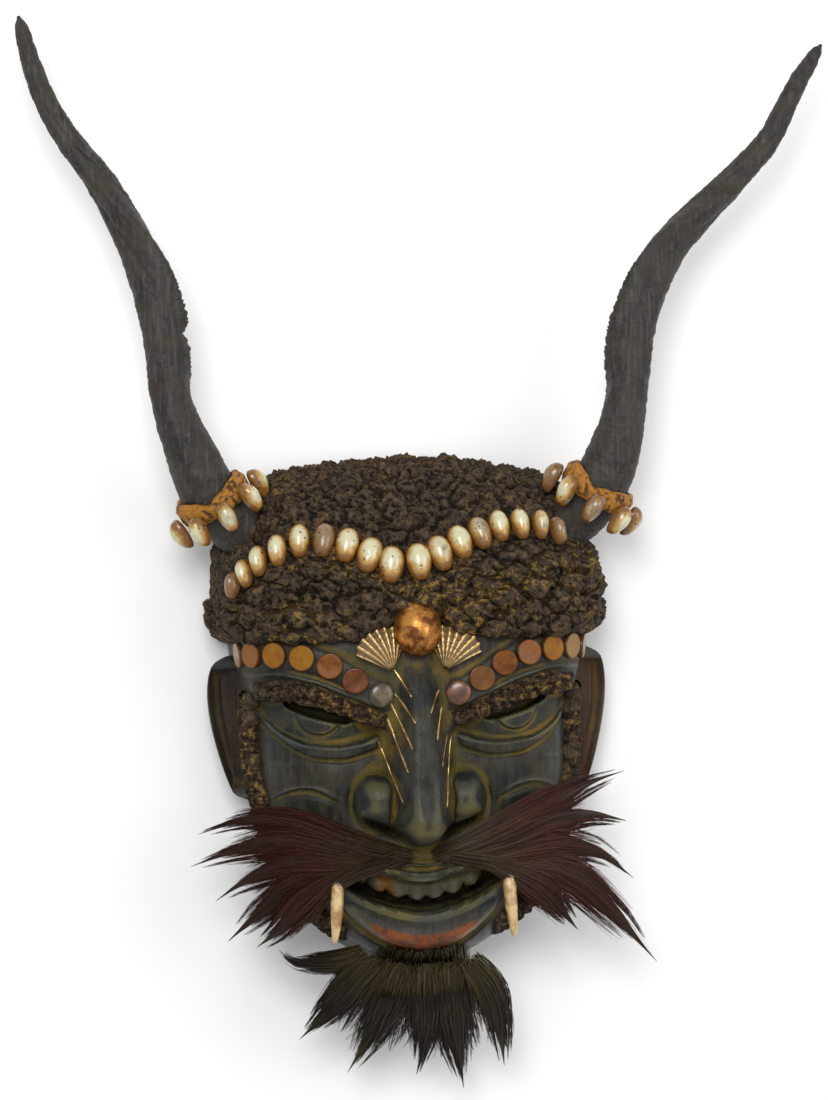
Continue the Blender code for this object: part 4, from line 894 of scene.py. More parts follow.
def horn_collars(resin, shell):
    """Crumbling rings of resin round the feet of the horns, each with cowries pressed round its front."""
    for side, sign in SIDES:
        path, share, half = horn_path(side, sign, 27)
        before, centre, after = [np.array([np.interp(COLLAR_PLACE + step, share, path[:, k])
                                           for k in range(3)])
                                 for step in (-0.03, 0, 0.03)]
        ahead = (after - before) / np.linalg.norm(after - before)
        inner = half.max() + CLEARANCE
        turn = around(150)
        round_it = np.linspace(0, 2 * math.pi, 37)
        lobe = np.cos(round_it)
        out = inner + COLLAR_THICKNESS * (0.30 + 0.72 * np.sign(lobe) * np.abs(lobe) ** 0.8)
        high = COLLAR_LENGTH * 0.52 * np.sin(round_it) - 0.0006 * (lobe > 0)
        reach = out[:-1, None]
        first = np.stack([reach * np.cos(turn), reach * np.sin(turn), high[:-1, None] + 0 * turn], -1)
        rough = clods(first, 0.0060, 0.0016, 51) + clods(first, 0.0026, 0.0007, 52)
        crest = ramp(high[:-1], 0, COLLAR_LENGTH * 0.5)[:, None]
        first[..., 2] += crest * (0.0022 * unevenness(first * (1, 1, 0), 0.020, 7, 2))
        swollen = (lobe[:-1] > -0.3)[:, None] * rough
        away = first * (1, 1, 0) / np.linalg.norm(first * (1, 1, 0), axis=-1, keepdims=True)
        first = first + away * (swollen - 0.0008)[..., None]
        index = np.arange(first.shape[0] * first.shape[1]).reshape(first.shape[:2])
        index = np.concatenate([index, index[:1]])
        index = np.concatenate([index, index[:, :1]], 1)
        flat = first.reshape(-1, 3)
        made = build(f"horn_collar_{side}_fine", placed(flat, centre, ahead, (0, 0, 1)), [cells_of(index)],
                     resin, "ochre_resin", {"hollow": 1.2 - 900 * swollen, "crevice": 0.7 - 700 * swollen})
        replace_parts(made, f"horn_collar_{side}")

        radius = inner + 1.1 * COLLAR_THICKNESS + CLEARANCE
        forward = Vector((0, 0, 1)) - Vector(ahead) * float(ahead[2])
        forward.normalize()
        across = Vector(ahead).cross(forward)
        shells = Gathered()
        for i in range(COLLAR_SHELLS):
            angle = math.radians(-84 + 42 * i) * -sign
            outwards = forward * math.cos(angle) + across * math.sin(angle)
            at = Vector(centre) + outwards * (radius + SHELL_HEIGHT * 0.28) - Vector(ahead) * 0.008
            shape, faces, dorsal, along = cowrie(COLLAR_SHELL_LENGTH, SHELL_WIDTH * 0.92, SHELL_HEIGHT)
            put = placed(shape, at, outwards, ahead, math.radians(8 * math.sin(5 * i)))
            stain = (0.15, 0.05, 0.35, 0.10, 0.20) if side == "left" else (0.45, 0.10, 0.65, 0.20, 0.7)
            shells.take(put, faces, dorsal=dorsal, along=along, stain=stain[i])
        made = shells.build(f"collar_shells_{side}", shell, "cowrie_shell")
        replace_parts(made, *[f"collar_shell_{side}_{i + 1}" for i in range(COLLAR_SHELLS)])


def fangs(finish):
    """Bone fangs hanging over the corners of the lips, slightly fluted and blunt at the tip."""
    for side, sign in SIDES:
        top = np.array([sign * 51, 62, 0]) * SQUARE
        share = np.linspace(0, 1, 90)
        lip = 0.090 * MASK_DEPTH / 0.080
        path = np.stack([top[0] + sign * 0.0025 * share ** 2, top[1] - FANG_LENGTH * share,
                         lip - 0.0060 + 0.0050 * np.sin(math.pi * share * 0.8)], -1)
        taper = np.interp(share, [0, 0.03, 0.15, 0.6, 0.9, 0.98, 1], [0.7, 0.88, 1, 0.92, 0.58, 0.36, 0.14])
        half = FANG_DIAMETER / 2 * taper
        turn = around(32)[None]
        plain = sections(path, half, half * 0.9, 32)
        swell = 1 + 0.035 * np.cos(5 * turn + 3 * share[:, None]) + 0.05 * unevenness(plain, 0.011, 14, 2)
        points, faces = closed_tube(sections(path, half, half * 0.9, 32, swell))
        made = build(f"fang_{side}_fine", points, faces, finish, "old_bone", {"share": np.repeat(share, 32)})
        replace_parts(made, f"fang_{side}")


# Gold slivers let into the sides of the nose: both ends as distance from the middle and height
SLIVERS = [((-14.3, 180.1), (-5.3, 163.7)), ((-14.7, 166.1), (-3.9, 148.5)), ((-17.2, 160.9), (-6.1, 132.8)),
           ((-19.2, 151.6), (-9.4, 120.1)), ((-24.2, 138.3), (-12.8, 102.7)), ((12.4, 167.6), (5.6, 154.0)),
           ((13.3, 157.6), (8.7, 138.2)), ((16.5, 141.7), (11.3, 122.9)), ((19.4, 141.0), (13.0, 98.9))]


def nose_slivers(finish):
    """Thin gold slivers lying in the wood: lens shaped strips that follow the nose's surface."""
    slivers = Gathered()
    for start, end in SLIVERS:
        t = np.linspace(0, 1, 40)
        x = start[0] + (end[0] - start[0]) * t
        y = start[1] + (end[1] - start[1]) * t + 0.8 * np.sin(math.pi * t)
        put = [on_wood(a, b, -0.0002) for a, b in zip(x, y)]
        path, normal = np.array([p for p, _ in put]), np.array([n for _, n in put])
        ahead = np.gradient(path, axis=0)
        beside = np.cross(ahead, normal)
        beside /= np.linalg.norm(beside, axis=1, keepdims=True)
        pointed = np.sqrt(np.clip(1 - (2 * t - 1) ** 6, 0, 1))
        half = 0.00085 * pointed * (0.75 + 0.25 * np.sin(9 * t + x[0])) + 0.00008
        turn = around(8)
        rings = (path[:, None] + beside[:, None] * (np.cos(turn) * half[:, None])[..., None]
                 + normal[:, None] * (np.sin(turn) * np.minimum(half, 0.00065)[:, None])[..., None])
        slivers.take(*closed_tube(rings))
    slivers.build("nose_slivers", finish, "worn_gilt")


# Locks of hair: middle line as distance from the middle plane, height and depth, and widths, in squares
MOUSTACHE = {
    "left": [
        ([(-6, 68, 86), (-40, 77, 89), (-80, 91, 74), (-104, 92, 64), (-131, 84, 57)], (10, 18, 20, 15, 6)),
        ([(-8, 67, 86), (-45, 72, 88), (-82, 79, 76), (-108, 75, 66), (-136, 65, 58)], (10, 16, 24, 19, 6)),
        ([(-10, 66, 86), (-50, 65, 87), (-84, 64, 77), (-108, 54, 66), (-122, 44, 60)], (10, 16, 26, 20, 6)),
        ([(-16, 70, 90), (-54, 59, 86), (-84, 47, 76), (-102, 32, 66), (-115, 20, 60)], (9, 15, 27, 24, 9)),
        ([(-34, 67, 89), (-56, 55, 86), (-74, 40, 80), (-86, 26, 70), (-98, 16, 62)], (9, 13, 22, 19, 9)),
    ],
    "right": [
        ([(6, 68, 86), (40, 80, 89), (80, 97, 74), (104, 107, 64), (127, 113, 57)], (10, 18, 22, 17, 6)),
        ([(8, 67, 86), (45, 75, 88), (82, 86, 76), (106, 88, 66), (127, 83, 59)], (10, 17, 25, 22, 10)),
        ([(10, 66, 86), (50, 68, 87), (84, 71, 77), (110, 64, 66), (131, 48, 58)], (10, 16, 26, 20, 6)),
        ([(16, 70, 90), (54, 62, 86), (86, 55, 76), (112, 33, 66), (145, -4, 52)], (9, 15, 26, 22, 6)),
        ([(34, 67, 89), (56, 56, 86), (74, 44, 80), (86, 30, 71), (95, 19, 64)], (9, 13, 23, 19, 9)),
    ],
}
BEARD = [
    ([(-36, 12, 78), (-50, 6, 66), (-64, 4, 56), (-76, 4, 48), (-84, 11, 44)], (12, 15, 13, 9, 5)),
    ([(-28, 8, 80), (-42, -8, 68), (-54, -24, 54), (-73, -44, 40)], (18, 25, 20, 6)),
    ([(-14, 6, 82), (-22, -20, 68), (-31, -42, 50), (-44, -66, 36)], (20, 27, 20, 6)),
    ([(0, 5, 83), (2, -24, 68), (2, -47, 50), (-2, -69, 36)], (24, 27, 21, 7)),
    ([(14, 5, 82), (17, -24, 66), (22, -52, 48), (27, -79, 34)], (22, 26, 21, 6)),
    ([(26, 6, 81), (38, -10, 72), (47, -36, 54), (52, -66, 36)], (16, 22, 17, 7)),
]


def hair_core(gathered, control, widths):
    """The dense middle of a lock, a flattened tube a little thinner than the lock."""
    path, share = along_path(np.array(control, float) * SQUARE, 22)
    half = np.interp(share, np.linspace(0, 1, len(widths)), widths) * SQUARE[0] / 2
    depth = LOCK_THICKNESS / 2 * np.interp(share, [0, 0.15, 0.6, 1], [0.8, 1, 0.9, 0.55])
    thin = np.interp(share, [0, 0.10, 0.50, 0.85, 1], [0.15, 0.78, 0.70, 0.22, 0.04])
    points, faces = closed_tube(sections(path, half * thin, np.minimum(depth, half) * thin * 0.8, 14))
    gathered.take(points, faces, along=0.2, odd=0.3)


def hair_strands(gathered, control, widths, count, chance):
    """Hairs of a lock: each keeps its place across the lock, then leans towards its own wisp near the tip."""
    rings = HAIR_POINTS
    path, share = along_path(np.array(control, float) * SQUARE, 60)
    first, second = cross_axes(path)
    half = np.interp(share, np.linspace(0, 1, len(widths)), widths) * SQUARE[0] / 2
    depth = np.minimum(LOCK_THICKNESS / 2 * np.interp(share, [0, 0.15, 0.6, 1], [0.8, 1, 0.9, 0.55]), half)
    wisps = 7
    wisp_u = np.linspace(-0.92, 0.92, wisps) + chance.uniform(-0.08, 0.08, wisps)
    wisp_v = chance.uniform(-0.6, 0.6, wisps)
    wisp_stop = chance.uniform(0.76, 1.0, wisps) - 0.05 * np.abs(wisp_u)
    out = np.sqrt(chance.uniform(0.04, 1, count))
    angle = chance.uniform(0, 2 * math.pi, count)
    u, v = out * np.cos(angle), out * np.sin(angle)
    own = np.argmin(np.abs(wisp_u[None] - u[:, None]), axis=1)
    stop = wisp_stop[own] * (1 - 0.34 * chance.beta(1.2, 3.0, count))
    start = 0.16 * chance.beta(1.0, 1.6, count)
    t = start[:, None] + (stop - start)[:, None] * np.linspace(0, 1, rings)[None]
    wild = (chance.random(count) < 0.07)[:, None]
    lean = 0.66 * ramp(t, 0.40, 1.0) * (1 - 0.8 * wild)
    sway = 0.07 * np.sin(t * chance.uniform(4, 11, count)[:, None] + chance.uniform(0, 6.28, count)[:, None])
    sway = sway * (1 + 3.5 * wild * ramp(t, 0.3, 1))
    across = (u[:, None] * (1 - lean) + wisp_u[own][:, None] * lean + sway)
    through = (v[:, None] * (1 - lean) + wisp_v[own][:, None] * lean + sway * 0.6)
    at = np.stack([np.interp(t, share, path[:, k]) for k in range(3)], -1)
    one = np.stack([np.interp(t, share, first[:, k]) for k in range(3)], -1)
    two = np.stack([np.interp(t, share, second[:, k]) for k in range(3)], -1)
    wide, deep = np.interp(t, share, half), np.interp(t, share, depth)
    spine = at + one * (across * wide)[..., None] + two * (through * deep)[..., None]
    thick = HAIR_RADIUS * chance.uniform(0.65, 1.30, count)[:, None]
    thick = thick * (1 - 0.82 * np.linspace(0, 1, rings)[None] ** 2.2)
    turn = around(3)
    ring = (spine[:, :, None] + one[:, :, None] * (np.cos(turn) * thick[..., None])[..., None]
            + two[:, :, None] * (np.sin(turn) * thick[..., None])[..., None])
    index = np.arange(count * rings * 3).reshape(count, rings, 3)
    beside = np.roll(index, -1, axis=2)
    cells = np.stack([index[:, :-1], beside[:, :-1], beside[:, 1:], index[:, 1:]], -1).reshape(-1, 4)
    ends = np.concatenate([index[:, 0, ::-1], index[:, -1]])
    along = np.repeat(t.ravel(), 3)
    odd = np.repeat(chance.uniform(0, 1, count), rings * 3)
    gathered.take(ring.reshape(-1, 3), [cells, ends], along=along, odd=odd)


def chin_lock(x):
    """A short lock that lies on the chin under the lower lip and ends on the beard."""
    heights = ((15.5, 0.0002), (9, 0.0016), (3, 0.004))
    lying = [on_block(x * (1 + 0.004 * (16 - y)), y, lift)[0] / SQUARE for y, lift in heights]
    return [*[tuple(p) for p in lying], (x * 1.22, -14, 77), (x * 1.36, -32, 66)], (9, 13, 15, 14, 9)


def tufts(red_hair, black_hair):
    """The moustache's two halves and the beard, each a mesh of dense locks and the hairs round them."""
    chance = np.random.default_rng(7)
    for name, locks, finish, each in (("moustache_left", MOUSTACHE["left"], red_hair, MOUSTACHE_HAIRS),
                                      ("moustache_right", MOUSTACHE["right"], red_hair, MOUSTACHE_HAIRS),
                                      ("beard", BEARD, black_hair, BEARD_HAIRS)):
        gathered = Gathered()
        for control, widths in locks:
            hair_core(gathered, control, widths)
            hair_strands(gathered, control, widths, each, chance)
        if name == "beard":
            for (one, widths), (two, _) in zip(BEARD[1:-1], BEARD[2:]):
                between = (np.array(one, float) + np.array(two, float)) / 2
                between[-1] = (between[-2] + between[-1]) / 2
                hair_strands(gathered, between, widths, BETWEEN_HAIRS, chance)
            for x in np.linspace(-22, 22, 11):
                hair_strands(gathered, *chin_lock(x), CHIN_HAIRS, chance)
        made = gathered.build(f"{name}_hairs", finish, "horse_hair")
        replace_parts(made, name)


# Finishes


def feed_socket(tree, socket, value):
    """Fills a socket with a link from another socket, a colour of three values or a constant."""
    if isinstance(value, bpy.types.NodeSocket):
        tree.links.new(value, socket)
    elif isinstance(value, tuple) and socket.type == "RGBA":
        socket.default_value = (*value, 1.0)
    else:
        socket.default_value = value


def join(tree, kind, settings=None, **fed):
    """A node whose inputs are given by name, as a value or as the socket that feeds them."""
    made = tree.nodes.new(kind)
    for label, value in (settings or {}).items():
        setattr(made, label, value)
    for label, value in fed.items():
        feed_socket(tree, made.inputs[label.replace("_", " ")], value)
    return made


def maths(tree, operation, first, second=0.0, third=0.0):
    made = tree.nodes.new("ShaderNodeMath")
    made.operation = operation
    for socket, value in zip(made.inputs, (first, second, third)):
        feed_socket(tree, socket, value)
    return made.outputs[0]


def spread(tree, value, low, high, to_low=0.0, to_high=1.0):
    """A value stretched from one range to another, held at both ends."""
    made = tree.nodes.new("ShaderNodeMapRange")
    made.interpolation_type = "SMOOTHSTEP"
    for socket, given in zip(made.inputs, (value, low, high, to_low, to_high)):
        feed_socket(tree, socket, given)
    return made.outputs[0]


def blended(tree, share, first, second, how="MIX"):
    """Two colours mixed by a share."""
    made = tree.nodes.new("ShaderNodeMix")
    made.data_type = "RGBA"
    made.blend_type = how
    for socket, given in ((made.inputs[0], share), (made.inputs[6], first), (made.inputs[7], second)):
        feed_socket(tree, socket, given)
    return made.outputs[2]


def grey(tree, value):
    """A value as a grey colour."""
    return join(tree, "ShaderNodeCombineColor", Red=value, Green=value, Blue=value).outputs[0]


def swing(tree, cloud, strength):
    """A noise centred on zero, times a strength."""
    return maths(tree, "MULTIPLY", maths(tree, "SUBTRACT", cloud, 0.5), strength)


def noise(tree, place, size, detail=4.0, rough=0.6):
    """Cloudy noise with lumps of about the given size in metres, from 0 to 1."""
    scale = 1.0 / size if not isinstance(size, bpy.types.NodeSocket) else maths(tree, "DIVIDE", 1.0, size)
    made = join(tree, "ShaderNodeTexNoise", Vector=place, Detail=detail, Roughness=rough, Scale=scale)
    return made.outputs["Fac"]


def new_group(name, inputs, outputs):
    """A shader node group with named sockets: values, but vectors for the place and the stretch."""
    tree = bpy.data.node_groups.new(name, "ShaderNodeTree")
    for way, labels in (("INPUT", inputs), ("OUTPUT", outputs)):
        for label in labels:
            kind = "NodeSocketVector" if label in ("Place", "Stretch") else "NodeSocketFloat"
            tree.interface.new_socket(label, in_out=way, socket_type=kind)
    return tree, tree.nodes.new("NodeGroupInput").outputs, tree.nodes.new("NodeGroupOutput").inputs


def dirt_shade_and_sheen_group():
    """Where dirt lies and shade is painted, and where hands have polished and sheen is painted: hollows and
    ridges broken up by cloudy noise.
    """
    tree, given, made = new_group("dirt_shade_and_sheen_masks", ("Place", "Hollow", "Crevice", "Patch Size"),
                                  ("Dirt_And_Shade", "Polish_And_Sheen", "Cloud"))
    cloud = noise(tree, given["Place"], given["Patch Size"], 7.0, 0.62)
    deep = maths(tree, "MULTIPLY_ADD", given["Hollow"], 0.34, maths(tree, "MULTIPLY", given["Crevice"], 1.5))
    mixed = maths(tree, "ADD", deep, swing(tree, cloud, 1.9))
    tree.links.new(spread(tree, mixed, 0.10, 0.85), made["Dirt_And_Shade"])
    high = maths(tree, "MULTIPLY", deep, -1.0)
    worn = maths(tree, "ADD", high, swing(tree, cloud, 0.8))
    tree.links.new(spread(tree, worn, 0.05, 0.8), made["Polish_And_Sheen"])
    tree.links.new(cloud, made["Cloud"])
    return tree


def grain_group():
    """Fine roughness of a surface: cloudy noise and small pits, as a height and as a shade."""
    tree, given, made = new_group("surface_grain", ("Place", "Grain Size", "Pits"), ("Height", "Shade"))
    fine = noise(tree, given["Place"], given["Grain Size"], 8.0, 0.68)
    cell = join(tree, "ShaderNodeTexVoronoi", Vector=given["Place"],
                Scale=maths(tree, "DIVIDE", 0.6, given["Grain Size"]))
    pit = spread(tree, cell.outputs["Distance"], 0.0, 0.45)
    pitted = maths(tree, "MULTIPLY", maths(tree, "SUBTRACT", pit, 1.0), given["Pits"])
    tree.links.new(maths(tree, "ADD", fine, pitted), made["Height"])
    shaded = maths(tree, "ADD", fine, maths(tree, "MULTIPLY", pitted, 0.5))
    tree.links.new(maths(tree, "MULTIPLY_ADD", shaded, 0.9, 0.55), made["Shade"])
    return tree


def specks_group():
    """Small dark specks scattered thinly: the middles of chance cells, where a second noise allows them."""
    tree, given, made = new_group("scattered_specks", ("Place", "Speck Size", "Share"), ("Mask",))
    cell = join(tree, "ShaderNodeTexVoronoi", Vector=given["Place"],
                Scale=maths(tree, "DIVIDE", 0.32, given["Speck Size"]))
    dot = spread(tree, cell.outputs["Distance"], 0.16, 0.30, 1.0, 0.0)
    channel = join(tree, "ShaderNodeSeparateColor", Color=cell.outputs["Color"])
    allowed = maths(tree, "LESS_THAN", channel.outputs[0], given["Share"])
    tree.links.new(maths(tree, "MULTIPLY", dot, allowed), made["Mask"])
    return tree


def streaks_group():
    """Streaks that run one way: noise squeezed across them."""
    tree, given, made = new_group("long_streaks", ("Place", "Stretch", "Width"), ("Streak",))
    squeezed = join(tree, "ShaderNodeVectorMath", {"operation": "MULTIPLY"})
    tree.links.new(given["Place"], squeezed.inputs[0])
    tree.links.new(given["Stretch"], squeezed.inputs[1])
    tree.links.new(noise(tree, squeezed.outputs[0], given["Width"], 6.0, 0.6), made["Streak"])
    return tree


class Finish:
    """A material being made: its tree, its shader, the object's own coordinates and its point values."""

    def __init__(self, name, roughness=0.5, metallic=0.0, **constants):
        self.material = bpy.data.materials.new(name)
        self.material.use_nodes = True
        self.tree = self.material.node_tree
        self.shader = self.tree.nodes["Principled BSDF"]
        self.shader.inputs["Roughness"].default_value = roughness
        self.shader.inputs["Metallic"].default_value = metallic
        for label, value in constants.items():
            self.shader.inputs[label.replace("_", " ")].default_value = value
        self.place = self.tree.nodes.new("ShaderNodeTexCoord").outputs["Object"]

    def value(self, label):
        return join(self.tree, "ShaderNodeAttribute", {"attribute_name": label}).outputs["Fac"]

    def group(self, tree, **fed):
        return join(self.tree, "ShaderNodeGroup", {"node_tree": tree}, **fed).outputs

    def dirt_shade_and_sheen(self, tree, patch):
        """Dirt and painted shade, polish and painted sheen, and cloud masks of a piece, from its hollow and
        crevice values.
        """
        return self.group(tree, Place=self.place, Hollow=self.value("hollow"), Crevice=self.value("crevice"),
                          Patch_Size=patch)

    def feed(self, label, value):
        self.tree.links.new(value, self.shader.inputs[label])

    def bump(self, height, distance, strength=1.0):
        made = join(self.tree, "ShaderNodeBump", Height=height, Distance=distance, Strength=strength)
        self.feed("Normal", made.outputs["Normal"])


def blackened_wood(dirt_shade_and_sheen, grain, streaks):
    """Near black wood, blue grey where hands polished it and sheen is painted, with olive and ochre dirt in
    the hollows, painted highlight on the ridge lines and painted shade in the ear dishes and openings.
    """
    made = Finish("blackened_wood", Specular_IOR_Level=0.22, Coat_Weight=0.05, Coat_Roughness=0.30)
    t = made.tree
    masks = made.dirt_shade_and_sheen(dirt_shade_and_sheen, 0.022)
    fine = made.group(grain, Place=made.place, Grain_Size=0.0016, Pits=0.25)
    run = made.group(streaks, Place=made.place, Stretch=(1.0, 0.16, 0.5), Width=0.0035)
    body = blended(t, spread(t, masks["Cloud"], 0.38, 0.62), (0.009, 0.009, 0.007), (0.030, 0.028, 0.018))
    smoky = noise(t, made.place, 0.030, 6.0, 0.68)
    body = blended(t, spread(t, smoky, 0.46, 0.66, 0.0, 0.75), body, (0.026, 0.018, 0.009))
    body = blended(t, spread(t, run["Streak"], 0.42, 0.70, 0.0, 0.55), body, (0.048, 0.044, 0.030))
    patches = noise(t, made.place, 0.045, 3.0)
    tone = blended(t, spread(t, patches, 0.40, 0.62), (0.058, 0.050, 0.012), (0.140, 0.090, 0.012))
    colour = blended(t, maths(t, "MULTIPLY", masks["Dirt_And_Shade"], 0.80), body, tone)
    # High places blue grey: rubbed by hands, with painted sheen.
    rubbed_and_sheen = maths(t, "MULTIPLY", masks["Polish_And_Sheen"], spread(t, smoky, 0.36, 0.60, 0.62, 0.12))
    colour = blended(t, rubbed_and_sheen, colour, (0.017, 0.021, 0.023))
    # Ridge lines lighter olive: worn edges, with painted highlight.
    edges = spread(t, made.value("crevice"), -0.28, -0.75, 0.0, 0.62)
    worn_edge_highlight = blended(t, spread(t, patches, 0.42, 0.60), (0.060, 0.064, 0.050), (0.130, 0.112, 0.036))
    colour = blended(t, edges, colour, worn_edge_highlight)
    # Ear dishes dark red brown, darker on the left: red paint with painted shade in the dish.
    ear_dish_paint_and_shade = maths(t, "MULTIPLY", made.value("ear_inside"), spread(t, smoky, 0.34, 0.62, 0.95, 0.45))
    ear_paint_and_shade_tone = blended(t, made.value("right_side"), (0.018, 0.008, 0.005), (0.060, 0.022, 0.008))
    colour = blended(t, ear_dish_paint_and_shade, colour, ear_paint_and_shade_tone)
    colour = blended(t, maths(t, "MULTIPLY", made.value("tooth"), 0.75), colour, (0.058, 0.052, 0.030))
    colour = blended(t, made.value("amber_tooth"), colour, (0.115, 0.050, 0.010))
    # Painted shade: near black in the recessed mouth, eye slits and nostrils.
    colour = blended(t, maths(t, "MULTIPLY", made.value("deep"), 0.85), colour, (0.008, 0.007, 0.005))
    worn_red = maths(t, "MULTIPLY", made.value("red_lip"), spread(t, masks["Cloud"], 0.30, 0.62, 1.0, 0.62))
    red = blended(t, spread(t, smoky, 0.42, 0.58), (0.085, 0.018, 0.003), (0.250, 0.052, 0.002))
    colour = blended(t, worn_red, colour, red)
    colour = blended(t, 1.0, colour, grey(t, fine["Shade"]), "MULTIPLY")
    made.feed("Base Color", colour)
    cleaner = maths(t, "SUBTRACT", masks["Polish_And_Sheen"], masks["Dirt_And_Shade"])
    made.feed("Roughness", spread(t, cleaner, -1.0, 1.0, 0.72, 0.30))
    height = maths(t, "ADD", fine["Height"], maths(t, "MULTIPLY", run["Streak"], 0.8))
    height = maths(t, "ADD", height, maths(t, "MULTIPLY", smoky, 0.7))
    made.bump(height, 0.0005, 0.9)
    return made.material


def knotted_paste(dirt_shade_and_sheen, grain):
    """Crumbly dark brown paste, ochre in its clefts low on the brow and reddish towards the crown, with
    painted shade near black deep in the clefts.
    """
    made = Finish("knotted_paste", roughness=0.80, Specular_IOR_Level=0.14)
    t = made.tree
    masks = made.dirt_shade_and_sheen(dirt_shade_and_sheen, 0.016)
    fine = made.group(grain, Place=made.place, Grain_Size=0.0022, Pits=0.9)
    broad = noise(t, made.place, 0.050, 3.0)
    crumbs = noise(t, made.place, 0.0045, 6.0, 0.72)
    body = blended(t, spread(t, crumbs, 0.40, 0.60), (0.010, 0.007, 0.005), (0.066, 0.043, 0.026))
    body = blended(t, spread(t, broad, 0.45, 0.65, 0.0, 0.6), body, (0.032, 0.015, 0.009))
    gold = spread(t, maths(t, "ADD", crumbs, maths(t, "MULTIPLY", masks["Dirt_And_Shade"], 0.12)), 0.50, 0.62)
    gold = maths(t, "MULTIPLY", gold, spread(t, broad, 0.38, 0.60, 0.10, 1.0))
    gold = maths(t, "MULTIPLY", gold, spread(t, made.value("lower"), 0.0, 1.0, 0.40, 1.0))
    colour = blended(t, gold, body, (0.300, 0.180, 0.036))
    # Painted shade: near black deep in the clefts between the clods.
    colour = blended(t, maths(t, "MULTIPLY", masks["Dirt_And_Shade"], 0.85), colour, (0.005, 0.004, 0.003))
    colour = blended(t, maths(t, "MULTIPLY", masks["Polish_And_Sheen"], 0.40), colour, (0.088, 0.064, 0.044))
    shade = grey(t, fine["Shade"])
    made.feed("Base Color", blended(t, 1.0, colour, shade, "MULTIPLY"))
    made.feed("Roughness", spread(t, fine["Shade"], 0.5, 1.4, 0.88, 0.55))
    made.bump(fine["Height"], 0.0010, 1.0)
    return made.material


def ochre_resin(dirt_shade_and_sheen, grain):
    made = Finish("ochre_resin", roughness=0.6, Specular_IOR_Level=0.25)
    t = made.tree
    masks = made.dirt_shade_and_sheen(dirt_shade_and_sheen, 0.008)
    fine = made.group(grain, Place=made.place, Grain_Size=0.0014, Pits=0.6)
    # Painted shade: darker brown in the hollows between the lumps.
    colour = blended(t, masks["Dirt_And_Shade"], (0.36, 0.155, 0.022), (0.070, 0.030, 0.010))
    shade = grey(t, fine["Shade"])
    made.feed("Base Color", blended(t, 0.8, colour, shade, "MULTIPLY"))
    made.bump(fine["Height"], 0.0005, 0.9)
    return made.material


def cowrie_shell(specks):
    """Glossy shell: pearl white over the back, honey to brown round the sides, stained and specked."""
    made = Finish("cowrie_shell", roughness=0.22, Coat_Weight=0.45, Coat_Roughness=0.12)
    t = made.tree
    cloud = noise(t, made.place, 0.0065, 4.0, 0.6)
    dots = made.group(specks, Place=made.place, Speck_Size=0.0009, Share=0.20)
    side = maths(t, "ADD", made.value("dorsal"), swing(t, cloud, 0.9))
    side = maths(t, "SUBTRACT", side, maths(t, "MULTIPLY", maths(t, "ABSOLUTE", made.value("along")), 0.28))
    colour = blended(t, spread(t, side, 0.25, 0.60), (0.20, 0.085, 0.016), (0.42, 0.24, 0.055))
    colour = blended(t, spread(t, side, 0.58, 0.92), colour, (0.56, 0.53, 0.34))
    stained = spread(t, maths(t, "ADD", made.value("stain"), swing(t, cloud, 1.3)), 0.25, 0.80)
    colour = blended(t, maths(t, "MULTIPLY", stained, 0.88), colour, (0.155, 0.070, 0.022))
    grime = spread(t, noise(t, made.place, 0.0034, 6.0, 0.7), 0.60, 0.67, 0.0, 0.75)
    colour = blended(t, grime, colour, (0.060, 0.036, 0.014))
    colour = blended(t, dots["Mask"], colour, (0.030, 0.020, 0.010))
    made.feed("Base Color", colour)
    made.feed("Roughness", spread(t, cloud, 0.35, 0.7, 0.16, 0.34))
    made.bump(maths(t, "SUBTRACT", cloud, maths(t, "MULTIPLY", dots["Mask"], 0.6)), 0.0002, 0.6)
    return made.material


def dark_horn(dirt_shade_and_sheen, grain, streaks):
    made = Finish("dark_horn", roughness=0.5, Specular_IOR_Level=0.26)
    t = made.tree
    masks = made.dirt_shade_and_sheen(dirt_shade_and_sheen, 0.020)
    fine = made.group(grain, Place=made.place, Grain_Size=0.0030, Pits=0.35)
    run = made.group(streaks, Place=made.place, Stretch=(1.0, 0.10, 1.0), Width=0.0022)
    body = blended(t, spread(t, masks["Cloud"], 0.32, 0.68), (0.017, 0.015, 0.013), (0.042, 0.037, 0.032))
    body = blended(t, spread(t, run["Streak"], 0.45, 0.72, 0.0, 0.6), body, (0.085, 0.076, 0.066))
    colour = blended(t, maths(t, "MULTIPLY", masks["Dirt_And_Shade"], 0.6), body, (0.040, 0.028, 0.016))
    shade = grey(t, fine["Shade"])
    made.feed("Base Color", blended(t, 0.9, colour, shade, "MULTIPLY"))
    made.feed("Roughness", spread(t, masks["Cloud"], 0.3, 0.7, 0.42, 0.66))
    made.bump(maths(t, "ADD", fine["Height"], maths(t, "MULTIPLY", run["Streak"], 0.6)), 0.0005, 0.9)
    return made.material


